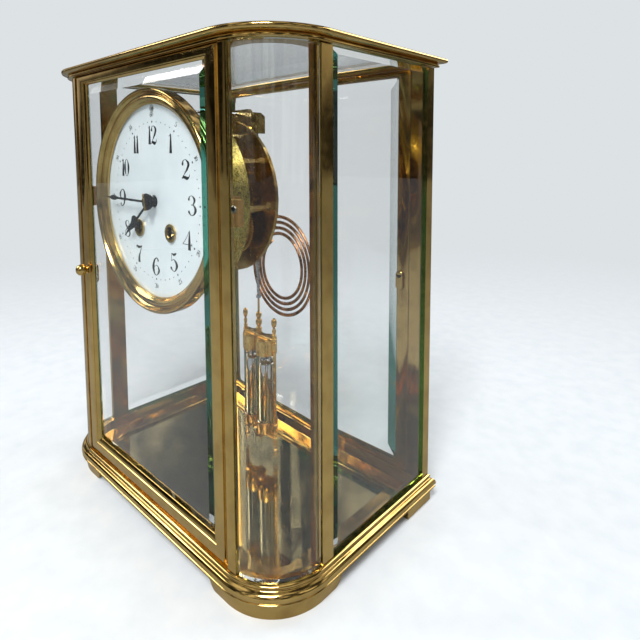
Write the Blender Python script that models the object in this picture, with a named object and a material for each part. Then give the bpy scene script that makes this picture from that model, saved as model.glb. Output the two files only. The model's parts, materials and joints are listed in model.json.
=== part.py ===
"""Crystal regulator clock: a brass case glazed on all sides, with a round striking movement and a
mercury pendulum inside. Metres, +Z up. The clock faces -Y and its right side, seen from the front, is +X.
Depths are counted backwards from the outer face of the front door, and places in the movement are
counted from the centre of the dial."""

import math

import bmesh
import bpy
import numpy as np
from mathutils import Matrix, Vector

for old_object in list(bpy.data.objects):
    bpy.data.objects.remove(old_object, do_unlink=True)

MM = 0.001
DEGREE = math.pi / 180

# Clearances
GAP = 0.3 * MM
RUNNING_GAP = 0.25 * MM
CUT_OVERRUN = 1.0 * MM
WELD_DISTANCE = 0.0001 * MM

# Case as a whole
CASE_WIDTH = 182.8 * MM
CASE_DEPTH = 110.2 * MM
CORNER_RADIUS = 27.7 * MM
CORNER_STEPS = 7
GLAZING_HEIGHT = 210.1 * MM

# Feet
FOOT_HEIGHT = 6.9 * MM
FOOT_OVERHANG = 1.0 * MM
FOOT_BAND = 13.0 * MM
FOOT_CHAMFER = 0.6 * MM
FRONT_FOOT_REACH = 11.3 * MM
SIDE_FOOT_REACH = 10.9 * MM
REAR_FOOT_LENGTH = 20.0 * MM

# Base moulding and floor
BASE_HEIGHT = 7.3 * MM
BASE_OVERHANG = 3.2 * MM
BASE_WALL = 7.0 * MM
BASE_FLANGE = 17.0 * MM
BASE_FLANGE_THICKNESS = 1.1 * MM
BASE_PROFILE_SHARES = (
    (0.76, 0.0), (0.94, 0.04), (0.94, 0.13), (0.78, 0.16), (0.97, 0.25), (1.0, 0.38),
    (0.9, 0.52), (0.66, 0.63), (0.26, 0.69), (0.18, 0.77), (0.31, 0.82), (0.31, 0.93), (0.0, 1.0),
)
FLOOR_INSET = 14.5 * MM
FLOOR_THICKNESS = 2.0 * MM

# Top frame and top glass
TOP_HEIGHT = 4.5 * MM
TOP_OVERHANG = 4.8 * MM
TOP_PROFILE_SHARES = (
    (0.38, 0.0), (0.38, 0.27), (0.2, 0.36), (0.68, 0.4), (0.94, 0.5), (1.0, 0.64),
    (1.0, 0.8), (0.9, 0.94), (0.72, 1.0),
)
TOP_LEDGE_REACH = 12.4 * MM
TOP_LEDGE_THICKNESS = 1.3 * MM
TOP_GLASS_SEAT = 1.7 * MM
TOP_GLASS_BEVEL = 7.0 * MM
TOP_GLASS_EDGE = 1.0 * MM
TOP_GLASS_THICKNESS = 2.7 * MM

# Posts and fixed glasses
FRONT_POST_WIDTH = 5.0 * MM
FRONT_POST_DEPTH = 6.0 * MM
POST_LIP = 1.7 * MM
POST_LIP_THICKNESS = 1.2 * MM
SIDE_POST_LENGTH = 6.5 * MM
SIDE_POST_THICKNESS = 6.0 * MM
REAR_POST_WIDTH = 11.3 * MM
REAR_POST_DEPTH = 5.3 * MM
GLASS_THICKNESS = 3.0 * MM
GLASS_EDGE = 1.4 * MM
GLASS_BEVEL = 3.0 * MM
GLASS_INSET = 0.5 * MM

# Doors
DOOR_PROFILE_SHARES = (
    (0.0, 1.0), (0.0, 0.4), (0.03, 0.2), (0.145, 0.18), (0.16, 0.0), (0.7, 0.0), (0.73, 0.12),
    (0.81, 0.12), (1.0, 0.32), (1.0, 0.44),
)
DOOR_REBATE_SHARE = 0.72
DOOR_LIP_SHARE = 0.44
DOOR_PIVOT_INSET = 2.0 * MM
DOOR_PIN_RADIUS = 1.0 * MM
DOOR_PIN_LENGTH = 2.4 * MM
FRONT_DOOR_DEPTH = 5.0 * MM
FRONT_STILE = 10.4 * MM
FRONT_BOTTOM_RAIL = 9.0 * MM
FRONT_TOP_RAIL = 4.9 * MM
REAR_DOOR_DEPTH = 5.3 * MM
REAR_STILE = 9.8 * MM
REAR_BOTTOM_RAIL = 3.5 * MM
REAR_TOP_RAIL = 3.5 * MM
DOOR_GLASS_THICKNESS = 3.2 * MM
DOOR_GLASS_EDGE = 1.2 * MM
DOOR_GLASS_BEVEL = 6.0 * MM
DOOR_GLASS_BACK = 0.3 * MM
KNOB_HEIGHT = 120.4 * MM
KNOB_INSET_SHARE = 0.51
KNOB_RADIUS = 3.2 * MM
KNOB_PROJECTION = 6.2 * MM
KNOB_PROFILE_SHARES = (
    (0.12, 1.0), (0.5, 0.95), (0.84, 0.79), (1.0, 0.55), (0.9, 0.32), (0.56, 0.15), (0.5, 0.1),
    (0.76, 0.08),
)
KNOB_SHAFT_RADIUS = 1.3 * MM
TONGUE_LENGTH = 8.6 * MM
TONGUE_HALF_WIDTH = 2.0 * MM
TONGUE_THICKNESS = 1.2 * MM

# Dial, bezel and movement ring
DIAL_HEIGHT = 160.8 * MM
DIAL_DEPTH = 10.6 * MM
DIAL_RADIUS = 47.5 * MM
DIAL_THICKNESS = 1.6 * MM
DIAL_STEPS = 40
DIAL_OPENING_RADIUS = 46.0 * MM
BEZEL_RADIUS = 53.4 * MM
BEZEL_FRONT = 4.2 * MM
BEZEL_PROFILE_SHARES = (
    (1.0, 0.18), (1.0, 0.8), (0.93, 1.0), (0.8, 1.0), (0.74, 0.78), (0.62, 0.52), (0.5, 0.7),
    (0.36, 0.76), (0.2, 0.58), (0.08, 0.34), (0.0, 0.28),
)
RING_RADIUS = 42.6 * MM
RING_BACK = 26.0 * MM
RING_FLANGE_RADIUS = 51.5 * MM
RING_FLANGE_THICKNESS = 1.2 * MM
BRACKET_HALF_HEIGHT = 8.5 * MM
BRACKET_THICKNESS = 2.5 * MM
BRACKET_WEB = 3.4 * MM
BRACKET_OUTER = 72.0 * MM
BRACKET_ARM_DEPTH = 16.0 * MM
BRACKET_ARM_THICKNESS = 3.0 * MM
BRACKET_CHAMFER = 2.0 * MM
FERRULE_HOLE = 3.1 * MM
FERRULE_WALL = 0.6 * MM
FERRULE_FLANGE_RADIUS = 4.4 * MM
FERRULE_FLANGE_THICKNESS = 0.5 * MM
DIAL_CENTRE_HOLE = 3.0 * MM
REGULATOR_HOLE = 2.0 * MM
REGULATOR_UP = 44.0 * MM
REGULATOR_RADIUS = 0.8 * MM

# Hands and motion work
MINUTE_HAND_LENGTH = 43.0 * MM
MINUTE_HAND_GAP = 3.75 * MM
HOUR_HAND_LENGTH = 31.0 * MM
HOUR_HAND_GAP = 2.6 * MM
HAND_THICKNESS = 0.45 * MM
MINUTE_BOSS = 4.1 * MM
HOUR_BOSS = 3.6 * MM
HAND_NECK = 0.55 * MM
MINUTE_SPADE = 1.25 * MM
HOUR_SPADE = 3.3 * MM
MINUTE_SPADE_SHARE = 0.77
HOUR_SPADE_SHARE = 0.58
SPADE_LENGTH_SHARE = 0.09
HOUR_TURN = 233 * DEGREE
MINUTE_TURN = 270.6 * DEGREE
NUT_RADIUS = 2.3 * MM
NUT_THICKNESS = 0.75 * MM
CANNON_BORE = 1.1 * MM
CANNON_RADIUS = 1.6 * MM
HOUR_PIPE_BORE = 1.9 * MM
HOUR_PIPE_RADIUS = 2.5 * MM
MOTION_MODULE = 0.45 * MM
CANNON_TEETH = 12
MINUTE_TEETH = 36
MINUTE_PINION_TEETH = 10
HOUR_TEETH = 40
HOUR_WHEEL_DEPTH = 16.9 * MM
MINUTE_WHEEL_DEPTH = 19.2 * MM
MOTION_WHEEL_THICKNESS = 1.0 * MM
MOTION_STUD_RADIUS = 0.6 * MM

# Movement plates
PLATE_RADIUS = 40.0 * MM
PLATE_THICKNESS = 2.0 * MM
FRONT_PLATE_DEPTH = 22.0 * MM
BACK_PLATE_DEPTH = 51.0 * MM
PLATE_STEPS = 36
PILLAR_CIRCLE = 36.5 * MM
PILLAR_RADIUS = 1.9 * MM
PILLAR_SHARES = (
    (0.8, 0.0), (0.8, 0.06), (1.25, 0.1), (0.7, 0.16), (1.0, 0.5), (0.7, 0.84), (1.25, 0.9), (0.8, 0.94),
    (0.8, 1.0),
)
PILLAR_ANGLES = (31 * DEGREE, 149 * DEGREE, 185 * DEGREE, 355 * DEGREE)
PIVOT_RADIUS = 0.45 * MM
SHAKE = 0.3 * MM

# Trains
WHEEL_TOOTH_SHARES = (0.75, 1.0, 0.0, 1.0)
PINION_TOOTH_SHARES = (0.45, 1.2, 0.0, 0.5)
BARREL_SIDE = 14.2 * MM
BARREL_DROP = 14.0 * MM
BARREL_RADIUS = 11.6 * MM
BARREL_LENGTH = 15.2 * MM
GREAT_TEETH = 60
BARREL_DEPTH = 29.8 * MM
GREAT_THICKNESS = 1.4 * MM
WINDING_RADIUS = 2.0 * MM
WINDING_SQUARE = 1.5 * MM
WINDING_END_GAP = 1.0 * MM
RATCHET_RADIUS = 4.8 * MM
RATCHET_TEETH = 14
RATCHET_TOOTH_SHARES = ((0.84, 0.0), (1.0, 0.85))
RATCHET_THICKNESS = 1.2 * MM
SECOND_SIDE = 13.6 * MM
SECOND_RISE = 1.0 * MM
ARBOR_RADIUS = 0.8 * MM
WHEEL_THICKNESS = 1.0 * MM
PINION_LENGTH = 2.2 * MM
INTERMEDIATE_TEETH = 48
SMALL_PINION_TEETH = 8
FINE_PINION_TEETH = 6
CENTRE_TEETH = 66
THIRD_TEETH = 72
ESCAPE_TEETH = 36
THIRD_SIDE = 3.78 * MM
THIRD_RISE = 11.81 * MM
ESCAPE_RISE = 21.5 * MM
ESCAPE_RADIUS = 7.6 * MM
ESCAPE_TOOTH_LEAN = 0.65
ANCHOR_RISE = 32.2 * MM
CENTRE_WHEEL_DEPTH = 25.6 * MM
SLOW_WHEEL_DEPTH = 47.5 * MM
THIRD_WHEEL_DEPTH = 44.0 * MM
ESCAPE_WHEEL_DEPTH = 38.0 * MM
STRIKE_TEETH = 48
STRIKE_MODULE = 0.4 * MM
STRIKE_PINS = 6
STRIKE_PIN_RADIUS = 0.4 * MM
STRIKE_PIN_CIRCLE = 8.7 * MM
STRIKE_PIN_LENGTH = 2.0 * MM
FLY_ANGLE = 105 * DEGREE
FLY_HALF_SPAN = 6.0 * MM
FLY_THICKNESS = 0.5 * MM
FLY_LENGTH = 12.0 * MM
FLY_DEPTH = 31.0 * MM
RIM_SHARE = 0.8
HUB_SHARE = 0.3
SPOKE_HALF_WIDTH = 0.6 * MM

# Anchor, crutch, cock and pendulum suspension
PALLET_ANGLE = 50 * DEGREE
PALLET_CLEARANCE = 0.65 * MM
PALLET_THICKNESS = 3.0 * MM
ANCHOR_ARM = 1.1 * MM
CRUTCH_WIDTH = 1.6 * MM
CRUTCH_THICKNESS = 1.2 * MM
CRUTCH_LENGTH = 25.0 * MM
FORK_PRONG = 1.0 * MM
FORK_HEIGHT = 1.4 * MM
PENDULUM_DEPTH = 72.0 * MM
COCK_HALF_WIDTH = 12.0 * MM
COCK_DEPTH = 58.3 * MM
COCK_THICKNESS = 2.5 * MM
COCK_DROP = 2.8 * MM
COCK_RISE = 14.0 * MM
COCK_FOOT_SIDE = 9.5 * MM
COCK_FOOT_RISE = 3.0 * MM
COCK_FOOT_RADIUS = 2.0 * MM
COCK_ARM_HALF_WIDTH = 5.0 * MM
COCK_ARM_REACH = 16.7 * MM
COCK_ARM_BOTTOM = 1.6 * MM
COCK_ARM_STEP = 1.0 * MM
COCK_CHAMFER = 3.0 * MM
COCK_SLOT_HALF_WIDTH = 2.4 * MM
COCK_SLOT_ROOF = 10.0 * MM
COCK_SLOT_DEPTH = 6.0 * MM
COCK_HOLE_RADIUS = 0.9 * MM
COCK_HOLE_DEPTH = 66.6 * MM
COCK_HOLE_RISES = (8.6 * MM, 3.8 * MM)
SPRING_THICKNESS = 0.3 * MM
SPRING_WIDTH = 3.6 * MM
SPRING_BLOCK_HALF_WIDTH = 1.6 * MM
SPRING_BLOCK_HEIGHT = 3.0 * MM
SPRING_HALF_LENGTH = 7.0 * MM

# Pendulum
ROD_RADIUS = 1.0 * MM
ROD_FOOT_HEIGHT = 100.5 * MM
VIAL_SIDE = 6.9 * MM
VIAL_RADIUS = 6.2 * MM
VIAL_WALL = 0.9 * MM
VIAL_FLOOR = 1.2 * MM
VIAL_BOTTOM = 28.7 * MM
VIAL_LENGTH = 42.3 * MM
MERCURY_LEVEL = 65.0 * MM
VIAL_STEPS = 14
COLUMN_SIDE = 14.4 * MM
COLUMN_BOTTOM = 8.9 * MM
COLUMN_TOP = 91.5 * MM
COLUMN_RADIUS = 1.6 * MM
COLUMN_SHARES = (
    (0.25, 0.0), (0.75, 0.015), (0.55, 0.04), (1.05, 0.062), (0.6, 0.09), (0.95, 0.13), (1.0, 0.22),
    (0.6, 0.225), (0.6, 0.755), (1.0, 0.76), (1.0, 0.905), (0.6, 0.92), (1.15, 0.945), (0.55, 0.968),
    (0.7, 0.98), (0.2, 1.0),
)
COLUMN_STEPS = 8
CAP_RADIUS = 6.8 * MM
CAP_HEIGHT = 8.6 * MM
CAP_OVERLAP = 1.6 * MM
BAR_HALF_DEPTH = 2.2 * MM
BAR_THICKNESS = 2.6 * MM
STEM_RADIUS = 1.5 * MM
STEM_SHARES = (
    (0.9, 0.0), (0.9, 0.3), (1.45, 0.38), (1.45, 0.48), (0.7, 0.56), (1.3, 0.7), (0.8, 0.84), (0.9, 0.92),
    (0.3, 1.0),
)
NUT_STEM_LENGTH = 6.0 * MM
NUT_STEM_RADIUS = 0.9 * MM
RATING_NUT_RADIUS = 4.0 * MM
RATING_NUT_HEIGHT = 2.6 * MM
RATING_NUT_LIFT = 1.2 * MM
RATING_NUT_LOBES = 8
RATING_NUT_LOBE_SHARE = 0.22

# Gong and hammer
GONG_DROP = 45.8 * MM
GONG_DEPTH = 92.0 * MM
GONG_RADIUS = 31.0 * MM
GONG_PITCH = 3.4 * MM
GONG_WIRE = 1.0 * MM
GONG_TURNS = 4
LOOP_POINTS = 24
GONG_START = 125 * DEGREE
GONG_BLOCK_HALF = 3.2 * MM
GONG_BLOCK_HALF_DEPTH = 3.4 * MM
GONG_POST_RADIUS = 2.4 * MM
HAMMER_SIDE = 30.0 * MM
HAMMER_RISE = 3.0 * MM
HAMMER_ANGLE = 152 * DEGREE
HAMMER_REST_GAP = 0.7 * MM
HAMMER_HEAD_RADIUS = 2.8 * MM
HAMMER_HEAD_LENGTH = 7.5 * MM
HAMMER_WIRE_RADIUS = 0.8 * MM
HAMMER_ARBOR_END = 57.0 * MM
HAMMER_TAIL_GAP = 0.7 * MM
HAMMER_TAIL_DEPTH = 45.2 * MM

# Levels and centres worked out from the sizes above
FRONT = -CASE_DEPTH / 2
GONG_HEIGHT = DIAL_HEIGHT - GONG_DROP
SIDE = CASE_WIDTH / 2
CORNER_CENTRE_SIDE = SIDE - CORNER_RADIUS
BASE_BOTTOM = FOOT_HEIGHT + GAP
BASE_TOP = BASE_BOTTOM + BASE_HEIGHT
GLAZING_BOTTOM = BASE_TOP + GAP
GLAZING_TOP = GLAZING_BOTTOM + GLAZING_HEIGHT
TOP_BOTTOM = GLAZING_TOP + GAP
FRONT_DOOR_HALF = CORNER_CENTRE_SIDE
REAR_DOOR_HALF = SIDE - REAR_POST_WIDTH - GAP
CENTRE = (0.0, DIAL_HEIGHT)
PIVOT_HEIGHT = DIAL_HEIGHT + ANCHOR_RISE
GOING_BARREL = (BARREL_SIDE, DIAL_HEIGHT - BARREL_DROP)
STRIKE_BARREL = (-BARREL_SIDE, DIAL_HEIGHT - BARREL_DROP)
INTERMEDIATE = (SECOND_SIDE, DIAL_HEIGHT + SECOND_RISE)
STRIKE = (-SECOND_SIDE, DIAL_HEIGHT + SECOND_RISE)
THIRD = (THIRD_SIDE, DIAL_HEIGHT + THIRD_RISE)
ESCAPE = (0.0, DIAL_HEIGHT + ESCAPE_RISE)
ANCHOR = (0.0, PIVOT_HEIGHT)
HAMMER = (-HAMMER_SIDE, DIAL_HEIGHT + HAMMER_RISE)
REGULATOR = (0.0, DIAL_HEIGHT + REGULATOR_UP)
FRONT_PLATE_BACK = FRONT_PLATE_DEPTH + PLATE_THICKNESS
BACK_PLATE_BACK = BACK_PLATE_DEPTH + PLATE_THICKNESS


def material(name, colour, roughness, metallic, transmission=0.0):
    """One plain Principled material."""
    made = bpy.data.materials.new(name)
    made.use_nodes = True
    shader = made.node_tree.nodes["Principled BSDF"]
    shader.inputs["Base Color"].default_value = (*colour, 1.0)
    shader.inputs["Roughness"].default_value = roughness
    shader.inputs["Metallic"].default_value = metallic
    shader.inputs["Transmission Weight"].default_value = transmission
    return made


BRASS = material("polished_brass", (0.79, 0.55, 0.22), 0.18, 1.0)
MOVEMENT_BRASS = material("movement_brass", (0.72, 0.55, 0.27), 0.3, 1.0)
STEEL = material("steel", (0.55, 0.56, 0.58), 0.28, 1.0)
BLACK_STEEL = material("blackened_steel", (0.03, 0.03, 0.035), 0.35, 0.6)
GLASS = material("bevelled_glass", (0.85, 0.95, 0.9), 0.02, 0.0, 1.0)
ENAMEL = material("white_enamel", (0.86, 0.88, 0.9), 0.12, 0.0)
MERCURY = material("mercury", (0.75, 0.76, 0.78), 0.05, 1.0)
GONG_STEEL = material("coppered_steel", (0.55, 0.3, 0.2), 0.4, 1.0)


def at_depth(depth):
    """Y of a place this far behind the outer face of the front door."""
    return FRONT + depth


def finish(name, mesh, paint, smooth=True):
    """The mesh as a named object, faces out, round parts shaded smooth."""
    shaped = bmesh.new()
    shaped.from_mesh(mesh)
    bmesh.ops.recalc_face_normals(shaped, faces=shaped.faces)
    shaped.to_mesh(mesh)
    shaped.free()
    mesh.materials.clear()
    mesh.materials.append(paint)
    if smooth:
        mesh.shade_smooth()
        mesh.set_sharp_from_angle(angle=35 * DEGREE)
    made = bpy.data.objects.new(name, mesh)
    bpy.context.scene.collection.objects.link(made)
    return made


def skin(name, rings, closed, paint):
    """Solid skin from ring to ring of points: the last meets the first, or both ends are capped."""
    count = len(rings[0])
    points = [tuple(point) for ring in rings for point in ring]
    faces = []
    for row in range(len(rings) if closed else len(rings) - 1):
        here, there = row * count, (row + 1) % len(rings) * count
        for i in range(count):
            after = (i + 1) % count
            faces.append((here + i, here + after, there + after, there + i))
    if not closed:
        faces.append(tuple(range(count)))
        faces.append(tuple((len(rings) - 1) * count + i for i in range(count)))
    mesh = bpy.data.meshes.new(name)
    mesh.from_pydata(points, [], faces)
    return finish(name, mesh, paint)


def prism_up(name, outline, low, high, paint):
    """Prism of an outline in plan (x, y) between two heights."""
    return skin(name, [[(x, y, z) for x, y in outline] for z in (low, high)], False, paint)


def prism_back(name, outline, front, back, paint):
    """Prism of an outline seen from the front (x, z) between two depths."""
    return skin(name, [[(x, at_depth(d), z) for x, z in outline] for d in (front, back)], False, paint)


def prism_across(name, outline, left, right, paint):
    """Prism of an outline seen from the side (depth, z) between two x."""
    return skin(name, [[(x, at_depth(d), z) for d, z in outline] for x in (left, right)], False, paint)


def turned(name, profile, origin, direction, steps, paint, closed=False):
    """Solid of revolution: profile lists (radius, distance along the axis from the origin)."""
    along = Vector(direction).normalized()
    across = along.orthogonal().normalized()
    other = along.cross(across)
    angles = [2 * math.pi * i / steps for i in range(steps)]
    rings = []
    for radius, distance in profile:
        middle = Vector(origin) + along * distance
        rings.append([middle + (across * math.cos(a) + other * math.sin(a)) * radius for a in angles])
    return skin(name, rings, closed, paint)


def turned_back(name, profile, centre, steps, paint, closed=False):
    """Solid turned about a line that runs from front to back: profile lists (radius, depth)."""
    return turned(name, profile, (centre[0], FRONT, centre[1]), (0, 1, 0), steps, paint, closed)


def turned_up(name, profile, place, steps, paint, closed=False):
    """Solid turned about an upright line: profile lists (radius, height)."""
    return turned(name, profile, (place[0], place[1], 0), (0, 0, 1), steps, paint, closed)


def plate(name, outlines, front, back, paint):
    """Flat plate between two depths: the first outline (x, z) is its edge, the others its holes."""
    curve = bpy.data.curves.new(name, "CURVE")
    curve.dimensions = "2D"
    curve.fill_mode = "BOTH"
    curve.extrude = (back - front) / 2
    for outline in outlines:
        spline = curve.splines.new("POLY")
        spline.points.add(len(outline) - 1)
        spline.use_cyclic_u = True
        for point, (x, z) in zip(spline.points, outline):
            point.co = (x, z, 0, 1)
    flat = bpy.data.objects.new(name, curve)
    bpy.context.scene.collection.objects.link(flat)
    graph = bpy.context.evaluated_depsgraph_get()
    mesh = bpy.data.meshes.new_from_object(flat.evaluated_get(graph))
    bpy.data.objects.remove(flat, do_unlink=True)
    bpy.data.curves.remove(curve)
    mesh.transform(
        Matrix.Translation((0, at_depth((front + back) / 2), 0)) @ Matrix.Rotation(math.pi / 2, 4, "X")
    )
    weld(mesh)
    return finish(name, mesh, paint)


def weld(mesh):
    """Makes one point of those that lie together."""
    shaped = bmesh.new()
    shaped.from_mesh(mesh)
    bmesh.ops.remove_doubles(shaped, verts=shaped.verts, dist=WELD_DISTANCE)
    shaped.to_mesh(mesh)
    shaped.free()


def combine(target, others, operation):
    """Applies one exact Boolean of all the others to the target, and removes the others."""
    tools = bpy.data.collections.new("tools")
    for other in others:
        tools.objects.link(other)
    step = target.modifiers.new(operation.lower(), "BOOLEAN")
    step.operation = operation
    step.solver = "EXACT"
    step.operand_type = "COLLECTION"
    step.collection = tools
    graph = bpy.context.evaluated_depsgraph_get()
    mesh = bpy.data.meshes.new_from_object(target.evaluated_get(graph))
    target.modifiers.clear()
    target.data = mesh
    for other in others:
        bpy.data.objects.remove(other, do_unlink=True)
    bpy.data.collections.remove(tools)
    mesh.shade_smooth()
    mesh.set_sharp_from_angle(angle=35 * DEGREE)
    return target


def fuse(target, *others):
    return combine(target, others, "UNION")


def cut(target, *others):
    return combine(target, others, "DIFFERENCE")


def set_origin(piece, point):
    """Puts the object's origin on its joint's axis and leaves its shape in place."""
    piece.data.transform(Matrix.Translation(-Vector(point)))
    piece.location = point
    return piece


def ride(child, carrier):
    """Parents a piece to the one that carries it, without moving it."""
    bpy.context.view_layer.update()
    child.parent = carrier
    child.matrix_parent_inverse = carrier.matrix_world.inverted()


def circle(centre, radius, steps):
    angles = [2 * math.pi * i / steps for i in range(steps)]
    return [(centre[0] + radius * math.cos(a), centre[1] + radius * math.sin(a)) for a in angles]


def rectangle(left, right, low, high):
    return [(left, low), (right, low), (right, high), (left, high)]


def arc(centre, radius, start, end, steps):
    angles = np.linspace(start, end, steps + 1)
    return [(centre[0] + radius * math.cos(a), centre[1] + radius * math.sin(a)) for a in angles]


def plan(offset):
    """Outline of the case this far outside its wall: square rear corners and round front corners."""
    half, rear = SIDE + offset, -FRONT + offset
    middle = FRONT + CORNER_RADIUS
    left = arc((-CORNER_CENTRE_SIDE, middle), CORNER_RADIUS + offset, math.pi, 1.5 * math.pi, CORNER_STEPS)
    right = arc(
        (CORNER_CENTRE_SIDE, middle), CORNER_RADIUS + offset, 1.5 * math.pi, 2 * math.pi, CORNER_STEPS,
    )
    return [(half, rear), (-half, rear), *left, *right]


def moulded_ring(name, profile, paint):
    """Moulding that runs round the case: profile lists (offset from the wall, height)."""
    return skin(name, [[(x, y, z) for x, y in plan(offset)] for offset, z in profile], True, paint)


def mirrored(outline, side):
    return [(x * side, y) for x, y in outline]


def side_name(side):
    return "right" if side > 0 else "left"


def door_pivots():
    """Places (x, y) of the two upright hinge lines."""
    front = (FRONT_DOOR_HALF - DOOR_PIVOT_INSET, at_depth(DOOR_PIVOT_INSET))
    rear = (-(REAR_DOOR_HALF - DOOR_PIVOT_INSET), at_depth(CASE_DEPTH - DOOR_PIVOT_INSET))
    return front, rear


def pin_holes(low, high):
    """Cutters for the four pivot holes of the doors in the base or the top."""
    return [
        turned_up(
            "pin_hole", [(DOOR_PIN_RADIUS + GAP, low), (DOOR_PIN_RADIUS + GAP, high)], place, 10, BRASS,
        )
        for place in door_pivots()
    ]


def make_feet():
    for side in (-1, 1):
        rings = []
        for z, inset in ((0.0, FOOT_CHAMFER), (FOOT_CHAMFER, 0.0), (FOOT_HEIGHT, 0.0)):
            centre = (CORNER_CENTRE_SIDE, FRONT + CORNER_RADIUS)
            outer = FOOT_OVERHANG - inset
            inner = inset - FOOT_BAND
            front_end = CORNER_CENTRE_SIDE - FRONT_FOOT_REACH + inset
            side_end = FRONT + CORNER_RADIUS + SIDE_FOOT_REACH - inset
            outline = [(front_end, FRONT - outer)]
            outline += arc(centre, CORNER_RADIUS + outer, 1.5 * math.pi, 2 * math.pi, CORNER_STEPS)
            outline += [(SIDE + outer, side_end), (SIDE + inner, side_end)]
            outline += arc(centre, CORNER_RADIUS + inner, 2 * math.pi, 1.5 * math.pi, CORNER_STEPS)
            outline += [(front_end, FRONT - inner)]
            rings.append([(x * side, y, z) for x, y in outline])
        skin("foot_front_" + side_name(side), rings, False, BRASS)
        rings = []
        for z, inset in ((0.0, FOOT_CHAMFER), (FOOT_CHAMFER, 0.0), (FOOT_HEIGHT, 0.0)):
            outer = FOOT_OVERHANG - inset
            block = rectangle(
                SIDE - FOOT_BAND + inset, SIDE + outer, -FRONT - REAR_FOOT_LENGTH + inset, -FRONT + outer,
            )
            rings.append([(x * side, y, z) for x, y in block])
        skin("foot_rear_" + side_name(side), rings, False, BRASS)


def make_base():
    outer = [(BASE_OVERHANG * out, BASE_BOTTOM + BASE_HEIGHT * up) for out, up in BASE_PROFILE_SHARES]
    flange = BASE_BOTTOM + BASE_FLANGE_THICKNESS
    inner = [
        (-BASE_WALL, BASE_TOP), (-BASE_WALL, flange), (-BASE_FLANGE, flange), (-BASE_FLANGE, BASE_BOTTOM),
    ]
    base = moulded_ring("base_moulding", outer + inner, BRASS)
    cut(base, *pin_holes(GLAZING_BOTTOM - DOOR_PIN_LENGTH - GAP, BASE_TOP + CUT_OVERRUN))
    top = BASE_BOTTOM - GAP
    prism_up("floor_plate", plan(-FLOOR_INSET), top - FLOOR_THICKNESS, top, BRASS)


def make_top():
    outer = [(TOP_OVERHANG * out, TOP_BOTTOM + TOP_HEIGHT * up) for out, up in TOP_PROFILE_SHARES]
    seat = TOP_LEDGE_REACH - TOP_GLASS_SEAT
    ledge = TOP_BOTTOM + TOP_LEDGE_THICKNESS
    inner = [
        (-seat, TOP_BOTTOM + TOP_HEIGHT), (-seat, ledge), (-TOP_LEDGE_REACH, ledge),
        (-TOP_LEDGE_REACH, TOP_BOTTOM),
    ]
    top = moulded_ring("top_frame", outer + inner, BRASS)
    cut(top, *pin_holes(TOP_BOTTOM - CUT_OVERRUN, GLAZING_TOP + DOOR_PIN_LENGTH + GAP))
    edge = -seat - GAP
    low = ledge + GAP
    levels = (
        (edge, low), (edge, low + TOP_GLASS_EDGE), (edge - TOP_GLASS_BEVEL, low + TOP_GLASS_THICKNESS),
    )
    skin("top_glass", [[(x, y, z) for x, y in plan(offset)] for offset, z in levels], False, GLASS)


def make_front_post(side):
    """Post between the front door and the curved glass, with a lip behind the glass."""
    inner_edge = CORNER_CENTRE_SIDE + GAP
    outer_edge = CORNER_CENTRE_SIDE + FRONT_POST_WIDTH
    shoulder = CORNER_RADIUS - math.sqrt(CORNER_RADIUS**2 - FRONT_POST_WIDTH**2)
    lip = FRONT_POST_DEPTH - POST_LIP_THICKNESS
    outline = [
        (inner_edge, FRONT), (outer_edge, at_depth(shoulder)), (outer_edge, at_depth(lip)),
        (outer_edge + POST_LIP, at_depth(lip)), (outer_edge + POST_LIP, at_depth(FRONT_POST_DEPTH)),
        (inner_edge, at_depth(FRONT_POST_DEPTH)),
    ]
    prism_up("front_post_" + side_name(side), mirrored(outline, side), GLAZING_BOTTOM, GLAZING_TOP, BRASS)


def make_side_post(side):
    """Post between the curved glass and the side glass, with a lip behind each."""
    front, back = CORNER_RADIUS, CORNER_RADIUS + SIDE_POST_LENGTH
    inner = SIDE - SIDE_POST_THICKNESS
    front_lip = SIDE - GLASS_INSET - GLASS_THICKNESS - GAP
    outline = [
        (inner, at_depth(front - POST_LIP)), (front_lip, at_depth(front - POST_LIP)),
        (front_lip, at_depth(front)),
        (SIDE, at_depth(front)), (SIDE, at_depth(back)), (front_lip, at_depth(back)),
        (front_lip, at_depth(back + POST_LIP)), (inner, at_depth(back + POST_LIP)),
    ]
    prism_up("side_post_" + side_name(side), mirrored(outline, side), GLAZING_BOTTOM, GLAZING_TOP, BRASS)


def make_rear_post(side):
    """Rear corner post, with a lip inside the side glass."""
    inner = SIDE - REAR_POST_WIDTH
    front = CASE_DEPTH - REAR_POST_DEPTH
    lip = SIDE - GLASS_INSET - GLASS_THICKNESS - GAP
    outline = [
        (inner, at_depth(front)), (lip - POST_LIP, at_depth(front)),
        (lip - POST_LIP, at_depth(front - POST_LIP)),
        (lip, at_depth(front - POST_LIP)), (lip, at_depth(front)), (SIDE, at_depth(front)),
        (SIDE, -FRONT), (inner, -FRONT),
    ]
    prism_up("rear_post_" + side_name(side), mirrored(outline, side), GLAZING_BOTTOM, GLAZING_TOP, BRASS)


def make_corner_glass(side):
    """Curved glass of a front corner, with bevelled upright edges."""
    outer = CORNER_RADIUS - GLASS_INSET
    inner = outer - GLASS_THICKNESS
    start = math.asin(GAP / inner)
    end = math.acos((FRONT_POST_WIDTH + GAP) / inner)
    bevel = GLASS_BEVEL / outer
    centre = (CORNER_CENTRE_SIDE, FRONT + CORNER_RADIUS)
    edge = inner + GLASS_EDGE
    outline = arc(centre, inner, -start, -end, CORNER_STEPS)
    outline += arc(centre, edge, -end, -end, 0)
    outline += arc(centre, outer, -end + bevel, -start - bevel, CORNER_STEPS)
    outline += arc(centre, edge, -start, -start, 0)
    prism_up("corner_glass_" + side_name(side), mirrored(outline, side), GLAZING_BOTTOM, GLAZING_TOP, GLASS)


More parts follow.
